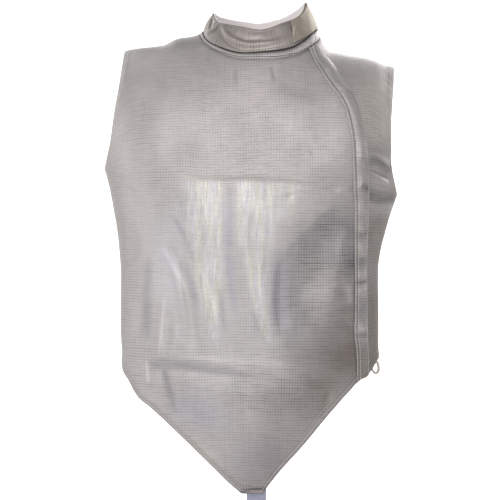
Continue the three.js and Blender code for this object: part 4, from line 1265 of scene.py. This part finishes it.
tabShading = dict(paintedShading=[  # a painted highlight along its free end, which stands as a ridge, and faint painted shade along its foot
    stroke(2.8, 0.5, (33.5, 8), (41, 26), start=0.3, end=0.05),
    stroke(5, -0.06, (48, 4), (100, 4)),
])


def turnsFrom(gap, count):  # once round the neck, from one side of the collar's split to the other
    turns = np.linspace(collar["split"] + gap, 360 + collar["split"] - gap, count)
    return np.where(turns > 180, turns - 360, turns)


shellTurns = turnsFrom(collar["splitHalf"], collar["columns"])


def bandShell(name, points, relief, wall, material, uv, finishAndShade):
    shaped = points + bandNormals(points) * relief[..., None]
    return clothShell(name, shaped, bandNormals(shaped), wall, material, uv, finishAndShade)


def buildCollar():
    turn, height = np.meshgrid(shellTurns, np.linspace(0, 1, collar["rows"]))
    points = collarPoint(turn, height, 0.0)
    tall = alongColumns(points)
    over = alongRows(points)[collar["rows"] // 2] + 0 * tall
    fromRim = tall[-1:] - tall
    relief = foldRelief(turn, tall, collarFolds)
    relief += collar["rimThick"] * (1 - smoothstep(fromRim, 2.5, 4.5))  # the turned rim and its stitches
    relief -= collar["rimGroove"] * bell(fromRim, 4, 0.8)
    relief -= collar["footSunk"] * (1 - smoothstep(tall, 0, collar["footHeight"]))
    relief += softNoise(over, tall, collar["unevenSize"], 81) * collar["uneven"]
    finishAndShade = finishAndShadingOf(turn, tall, collarShading)
    # darker at the rim's stitches, and a painted shadow along the rim's edge
    darken(finishAndShade, collar["rimDarkening"] * bell(fromRim, 3.8, 0.9) + collar["edgeDarkening"] * bell(fromRim, 0, 1.2))
    uv = np.stack([tall, over], -1)  # the collar is cut with the check's strong yarns upright
    return bandShell("collarCloth", points, relief, collar["wall"], collarCloth, uv, finishAndShade)


def buildLining():
    turn, height = np.meshgrid(shellTurns, np.linspace(lining["foot"], 1, lining["rows"]))
    points = collarPoint(turn, height, -collar["thick"] - collar["gap"])
    over, tall = alongRows(points), alongColumns(points)
    relief = softNoise(over, tall, lining["unevenSize"], 91) * lining["uneven"]
    uv, finishAndShade = np.stack([over, tall], -1), finishAndShadingOf(turn, tall, {})
    return bandShell("collarLiningCloth", points, relief, lining["wall"], liningCloth, uv, finishAndShade)


def buildTab():
    turns = np.linspace(tab["from"], tab["to"], tab["columns"])
    share = np.clip((turns - tab["from"]) / (tab["level"] - tab["from"]), 0, 1)
    low = tab["freeFoot"] + (tab["foot"] - tab["freeFoot"]) * share
    rise = np.linspace(0, 1, tab["rows"])[:, None]
    turn = turns - tab["rake"] * (1 - share) * (1 - rise)
    points = collarPoint(turn, low + (1 - low) * rise, collar["gap"] + tab["clear"])
    tall = alongColumns(points)
    over = alongRows(points)[tab["rows"] // 2] + 0 * turn
    edge = np.minimum(np.minimum(over, tall), tall[-1:] - tall)
    relief = tab["edgeThick"] * (1 - smoothstep(edge, 2.5, 4.2)) - tab["edgeGroove"] * bell(edge, 3.6, 0.8)
    relief += softNoise(over, tall, tab["unevenSize"], 97) * tab["uneven"]
    uv, finishAndShade = np.stack([tall, over], -1), finishAndShadingOf(turn, tall, tabShading)
    return bandShell("collarTabCloth", points, relief, tab["wall"], tabCloth, uv, finishAndShade)


collarPiece = buildCollar()
liningPiece = buildLining()
tabPiece = buildTab()
print("collar, lining and tab")

# The crotch strap: elastic webbing from the point to the back hem.
strap = dict(
    x=3, width=27, wall=1.6, skin=1.3, clear=0.7, panel=1.5, sewnIn=16, steps=260, columns=19,
    rib=0.18, ribs=9, sunk=0.2,
    run=[(-51, -664), (-32, -688), (-2, -699), (30, -692), (60, -667), (84, -622), (99, -560), (105.5, -500)],
)


def insidePanel(half, distance):  # where the strap's middle lies inside a panel, in y and z
    across = float(acrossOf(hip, strap["x"]))
    end = float(hemCrossing(half, lambda at: np.full(np.shape(at), across), 1)[0])
    step = 0.5
    reach = np.linalg.norm(formPoint(half, end - step, across) - formPoint(half, end, across))
    points, normal = liesOn(half, end - distance / (reach / step), across, small=1e-3)
    return (points - normal * (strap["panel"] + strap["clear"] + strap["wall"] / 2))[1:]


def buildStrap():
    sewn = strap["sewnIn"]
    line = smoothPath([insidePanel("front", sewn), insidePanel("front", 0), *strap["run"],
                       insidePanel("back", 0), insidePanel("back", sewn)], strap["steps"])
    tangent = unit(np.gradient(line, axis=0))
    outward = np.stack([-tangent[:, 1], tangent[:, 0]], -1)
    outward *= np.sign((outward * (line - line.mean(axis=0))).sum())
    share = np.linspace(-1, 1, strap["columns"])[None, :] + 0 * line[:, :1]
    flat = 0 * share
    x = strap["x"] + share * strap["width"] / 2
    points = np.stack([x, line[:, :1] + flat, line[:, 1:] + flat], -1)
    normals = np.stack([flat, outward[:, :1] + flat, outward[:, 1:] + flat], -1)
    height = strap["wall"] / 2 - strap["sunk"] + strap["rib"] * np.cos(share * strap["ribs"] * np.pi)
    uv = np.stack([x - strap["x"], flat - alongColumns(line)[:, None]], -1)
    finishAndShade = finishAndShadingOf(x, points[..., 2], {})
    piece = clothShell("crotchStrapWebbing", points + normals * height[..., None], normals, strap["skin"],
                       webbing, uv, finishAndShade)
    return piece, line


strapPiece, strapLine = buildStrap()
print("crotch strap", round(lengthOf(strapLine)), "mm")

# The zip under the flap: its tapes, and its teeth by Geometry Nodes.
zipper = dict(
    half=10, cut=11, tape=0.8, below=1.9, clear=8, lift=0.12, rows=200, columns=9,
    toothPitch=2.1, toothSize=(1.3, 3.8, 1.4), toothDepth=1.1, ends=(4, -2),
)


def buildZipTape():
    def halfOf(at):
        return np.full(np.shape(at), zipper["half"])

    at, across = stripGrid(halfOf, zipper["columns"], zipper["rows"], zipper["clear"], zipper["lift"])
    points, normals = liesOn("front", at, across)
    x, z = points[..., 0], points[..., 2]
    face = points + normals * (reliefOf("front", x, z) - zipper["below"])[..., None]
    down = alongColumns(points)
    uv = np.stack([np.linspace(-1, 1, zipper["columns"]) * zipper["cut"] + 0 * down, -down], -1)
    normals = normalsOf(face, "front")
    piece = clothShell("zipTapeCloth", face, normals, zipper["tape"], zipTapeCloth, uv, finishAndShadingOf(x, z, {}))
    middle, (start, end) = zipper["columns"] // 2, zipper["ends"]
    return piece, (face - normals * zipper["toothDepth"])[start:end, middle]


zipTapePiece, teethPath = buildZipTape()

rowInputs = [
    ("Path", "Geometry", None), ("Pitch", "Float", 0.003), ("Size", "Vector", (0.002, 0.0005, 0.0005)),
    ("Uneven", "Float", 0.1), ("Finish", "Material", None),
]


def rowTree(name, shapeKind, shape):
    # small shapes set at an even pitch along every path, turned to follow it, and made real
    tree = bpy.data.node_groups.new(name, "GeometryNodeTree")
    for label, kind, value in rowInputs:
        socket = tree.interface.new_socket(name=label, in_out="INPUT", socket_type="NodeSocket" + kind)
        if value is not None:
            socket.default_value = value
    tree.interface.new_socket(name="Row", in_out="OUTPUT", socket_type="NodeSocketGeometry")
    given = add(tree, "NodeGroupInput").outputs
    points = add(tree, "GeometryNodeResampleCurve", {"Curve": given["Path"], "Length": given["Pitch"]},
                 mode="LENGTH")
    tangent = add(tree, "GeometryNodeInputTangent")
    turn = add(tree, "FunctionNodeAlignRotationToVector", {"Vector": tangent}, axis="X")
    low = add(tree, "Math", {0: 1.0, 1: given["Uneven"]}, operation="SUBTRACT")
    high = add(tree, "Math", {0: 1.0, 1: given["Uneven"]}, operation="ADD")
    vary = add(tree, "FunctionNodeRandomValue", {"Min": low, "Max": high, "Seed": 7}, data_type="FLOAT")
    size = add(tree, "VectorMath", {0: given["Size"], "Scale": vary}, operation="SCALE")
    small = add(tree, shapeKind, shape)
    smooth = add(tree, "GeometryNodeSetShadeSmooth", {"Geometry": small.outputs["Mesh"]})
    copies = add(tree, "GeometryNodeInstanceOnPoints",
                 {"Points": points, "Instance": smooth, "Rotation": turn, "Scale": size})
    real = add(tree, "GeometryNodeRealizeInstances", {"Geometry": copies})
    done = add(tree, "GeometryNodeSetMaterial", {"Geometry": real, "Material": given["Finish"]})
    add(tree, "NodeGroupOutput", {"Row": done})
    return tree


stitchTree = rowTree("stitchRow", "GeometryNodeMeshUVSphere", {"Segments": 6, "Rings": 4, "Radius": 0.5})
toothTree = rowTree("toothRow", "GeometryNodeMeshCube", {"Size": (1, 1, 1)})


def rowsAlong(name, paths, tree, pitch, size, uneven, material):  # a mesh of shapes along several paths
    curve = bpy.data.curves.new(name + "Path", "CURVE")
    curve.dimensions = "3D"
    for path in paths:
        spline = curve.splines.new("POLY")
        spline.points.add(len(path) - 1)
        spline.points.foreach_set("co", np.concatenate([path * mm, np.ones((len(path), 1))], 1).ravel())
    holder = addObject(name + "Path", curve)
    modifier = holder.modifiers.new("row", "NODES")
    modifier.node_group = tree
    values = {"Pitch": pitch * mm, "Size": [part * mm for part in size], "Uneven": uneven, "Finish": material}
    for item in tree.interface.items_tree:
        if item.in_out == "INPUT" and item.name in values:
            modifier[item.identifier] = values[item.name]
    mesh = bpy.data.meshes.new_from_object(holder.evaluated_get(bpy.context.evaluated_depsgraph_get()))
    mesh.name = name
    bpy.data.objects.remove(holder)
    bpy.data.curves.remove(curve)
    return addObject(name, mesh)


teethPiece = rowsAlong("zipTeeth", [teethPath], toothTree, zipper["toothPitch"], zipper["toothSize"], 0.0,
                       toothPlastic)
print("zip")

# Stitch rows. Each stitch size is its length, width and height.
stitch = dict(pitch=3.0, lift=0.12, uneven=0.12, hem=(2.3, 0.95, 0.6), seam=(2.3, 0.7, 0.5),
              strap=(2.6, 1.1, 0.8), flap=(2.5, 0.9, 0.7), band=(2.3, 1.5, 1.0), bandPitch=2.4,
              bandRows=(90, 40, 60), collar=(2.8, 1.6, 1.4), collarPitch=0.9, collarUneven=0.06,
              collarOut=0.4, collarUp=0.3, collarGap=0.3, collarPoints=520,
              seamIn=3.5, armholeFoot=dict(first=-184, last=-216), sideTop=dict(first=-190, last=-224),
              neckClear=3, strapRows=(4.5, 12), strapHalf=8)


def between(low, high, t):
    return low * (1 - t) + high * t


def contour(panel, gaps, level, rows=None, alongside=False):
    # the line on a panel's top rows at a given distance from an edge, met going down its columns, or
    # along its rows for an edge that lies alongside
    points, normals, gaps = panel["points"][:rows], panel["normals"][:rows], gaps[:rows]
    if alongside:
        points, normals, gaps = (np.swapaxes(grid, 0, 1) for grid in (points, normals, gaps))
    path = []
    for j, column in enumerate(gaps.T):
        if column.min() > level or column.max() < level:
            continue
        order = np.argsort(column)
        i = int(np.searchsorted(column[order], level))
        a, b = order[max(i - 1, 0)], order[min(i, len(order) - 1)]
        t = 0 if column[b] == column[a] else (level - column[a]) / (column[b] - column[a])
        raised = between(normals[a, j], normals[b, j], t) * stitch["lift"]
        path.append(between(points[a, j], points[b, j], t) + raised)
    return np.array(path)


def hemLine(panel, share=1.0):  # along the turned hem, at a share of its width
    width = hemWidthOf(panel["half"], panel["points"][..., 0])
    return contour(panel, panel["gaps"]["hem"] - width * share, 0)


def armholeLine(panel, edge):
    path = contour(panel, panel["gaps"][edge], hem["armhole"], alongside=True)
    return path[path[:, 2] > stitch["armholeFoot"][edge]]


def sideSeamLine(edge):
    path = contour(back, back["gaps"][edge], stitch["seamIn"], alongside=True)
    return path[path[:, 2] < stitch["sideTop"][edge]]


def shoulderSeamLines():  # along both shoulders, without the part round the neck
    path = contour(back, back["gaps"]["top"], stitch["seamIn"])
    right, left = neckRight - stitch["neckClear"], neckLeft + stitch["neckClear"]
    return [path[path[:, 0] < right], path[path[:, 0] > left]]


def strapLineAt(level):  # a short line over the strap's sewn end, so far above the hem
    path = contour(front, front["gaps"]["hem"], level)
    return path[np.abs(path[:, 0] - strap["x"]) < stitch["strapHalf"]]


def flapLine(share):  # a line down the flap at a share of its width
    place = (share + 1) / 2 * (flap["columns"] - 1)
    i = min(int(place), flap["columns"] - 2)
    points, normals = flapStrip["points"], flapStrip["normals"]
    raised = between(normals[:, i], normals[:, i + 1], place - i) * stitch["lift"]
    return between(points[:, i], points[:, i + 1], place - i) + raised


def bandLine(panel, rows):
    return contour(panel, bandShare(panel["points"], panel["half"], neckBand["width"]), 1.0, rows)


def stitchRows(name, paths, size, thread, pitch=stitch["pitch"], uneven=stitch["uneven"]):
    return rowsAlong(name, paths, stitchTree, pitch, size, uneven, thread)


seamTurns = turnsFrom(stitch["collarGap"], stitch["collarPoints"])
seamLift = np.array([0, 0, stitch["collarUp"]])
stitchPieces = [
    stitchRows("hemStitches", [
        hemLine(front), hemLine(side), hemLine(front, 0.5), hemLine(back),
        armholeLine(front, "first"), armholeLine(side, "last"),
        armholeLine(back, "first"), armholeLine(back, "last"),
    ], stitch["hem"], lightThread),
    stitchRows("seamStitches", [*shoulderSeamLines(), sideSeamLine("first"), sideSeamLine("last")],
               stitch["seam"], greyThread),
    stitchRows("strapStitches", [strapLineAt(level) for level in stitch["strapRows"]],
               stitch["strap"], lightThread),
    stitchRows("flapStitches", [flapLine(share) for share, width in flap["stitched"]],
               stitch["flap"], lightThread),
    stitchRows("collarSeamStitches", [footPoint(seamTurns, collar["seat"] + stitch["collarOut"]) + seamLift],
               stitch["collar"], darkThread, stitch["collarPitch"], stitch["collarUneven"]),
    stitchRows("neckBandStitches", [bandLine(*pair) for pair in zip((front, side, back), stitch["bandRows"])],
               stitch["band"], darkThread, stitch["bandPitch"]),
]
print("stitches")


def place(piece, slotName, *nodes):  # every piece rides on the one body, and any parts of the model that it stands for are hidden
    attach(piece, "root")
    if nodes:
        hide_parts(*nodes)


place(front["piece"], "lame_cloth", "front_panel")
place(side["piece"], "lame_cloth", "left_side_panel")
place(back["piece"], "lame_cloth", "back_panel")
place(flapStrip["piece"], "lame_cloth", "closing_flap")
place(collarPiece, "lame_cloth", "collar")
place(liningPiece, "lining_cloth", "collar_lining")
place(tabPiece, "lame_cloth", "collar_tab")
place(strapPiece, "elastic", "crotch_strap")
place(zipTapePiece, "zip_tape", "zip")
place(teethPiece, "zip_tape")
for piece in stitchPieces:
    place(piece, "lame_cloth")

print("pieces placed")

# The floor, the backdrop and the lights.
studio = dict(floor=-1400, wide=3600, floorWide=9000, near=-4200, far=2600, bend=900, high=3000,
              colour="#f4f3f1", roughness=0.9, world="#fbfaf8", worldStrength=0.3)


def buildBackdrop():  # paper that bends up from the floor
    material, tree = newMaterial("paperBackdrop")
    closeMaterial(tree, {"Base Color": linear(studio["colour"]), "Roughness": studio["roughness"]})
    far, floor, bend = studio["far"], studio["floor"], studio["bend"]
    bent = [(far + bend * math.sin(turn), floor + bend * (1 - math.cos(turn)))
            for turn in np.linspace(0, math.pi / 2, 16)]
    line = [(studio["near"], floor), *bent, (far + bend, studio["high"])]
    points = [(end * (studio["wide"] if y > far else studio["floorWide"]) / 2, y, z)
              for y, z in line for end in (-1, 1)]
    faces = [(2 * i, 2 * i + 1, 2 * i + 3, 2 * i + 2) for i in range(len(line) - 1)]
    return newMesh("floorSweep", points, faces, material)


buildBackdrop()

world = bpy.data.worlds.new("studio")
world.use_nodes = True
background = world.node_tree.nodes["Background"]
background.inputs[0].default_value = linear(studio["world"])
background.inputs[1].default_value = studio["worldStrength"]
scene.world = world

lamps = [
    dict(name="keyLamp", at=(-250, -2700, 950), aim=(0, 0, -250), size=(2200, 1500), power=47),
    dict(name="frontLamp", at=(-200, -3300, -500), aim=(-60, 0, -300), size=(500, 900), power=9),
    dict(name="leftLamp", at=(-2700, -900, 0), aim=(0, 0, -300), size=(1200, 1500), power=17),
    dict(name="backLamp", at=(600, 2200, 1300), aim=(0, 0, -250), size=(1200, 1200), power=22),
    dict(name="backdropLampRight", at=(-1900, 1500, 1500), aim=(0, 3400, -200), size=(1000, 2400), power=120),
    dict(name="backdropLampLeft", at=(1900, 1500, 1500), aim=(0, 3400, -200), size=(1000, 2400), power=120),
]
for lamp in lamps:
    light = bpy.data.lights.new(lamp["name"], "AREA")
    light.shape = "RECTANGLE"
    light.size, light.size_y = [value * mm for value in lamp["size"]]
    light.energy = lamp["power"]
    holder = addObject(lamp["name"], light)
    holder.location = [value * mm for value in lamp["at"]]
    holder.rotation_euler = (Vector(lamp["aim"]) - Vector(lamp["at"])).to_track_quat("-Z", "Y").to_euler()
print("studio ready")
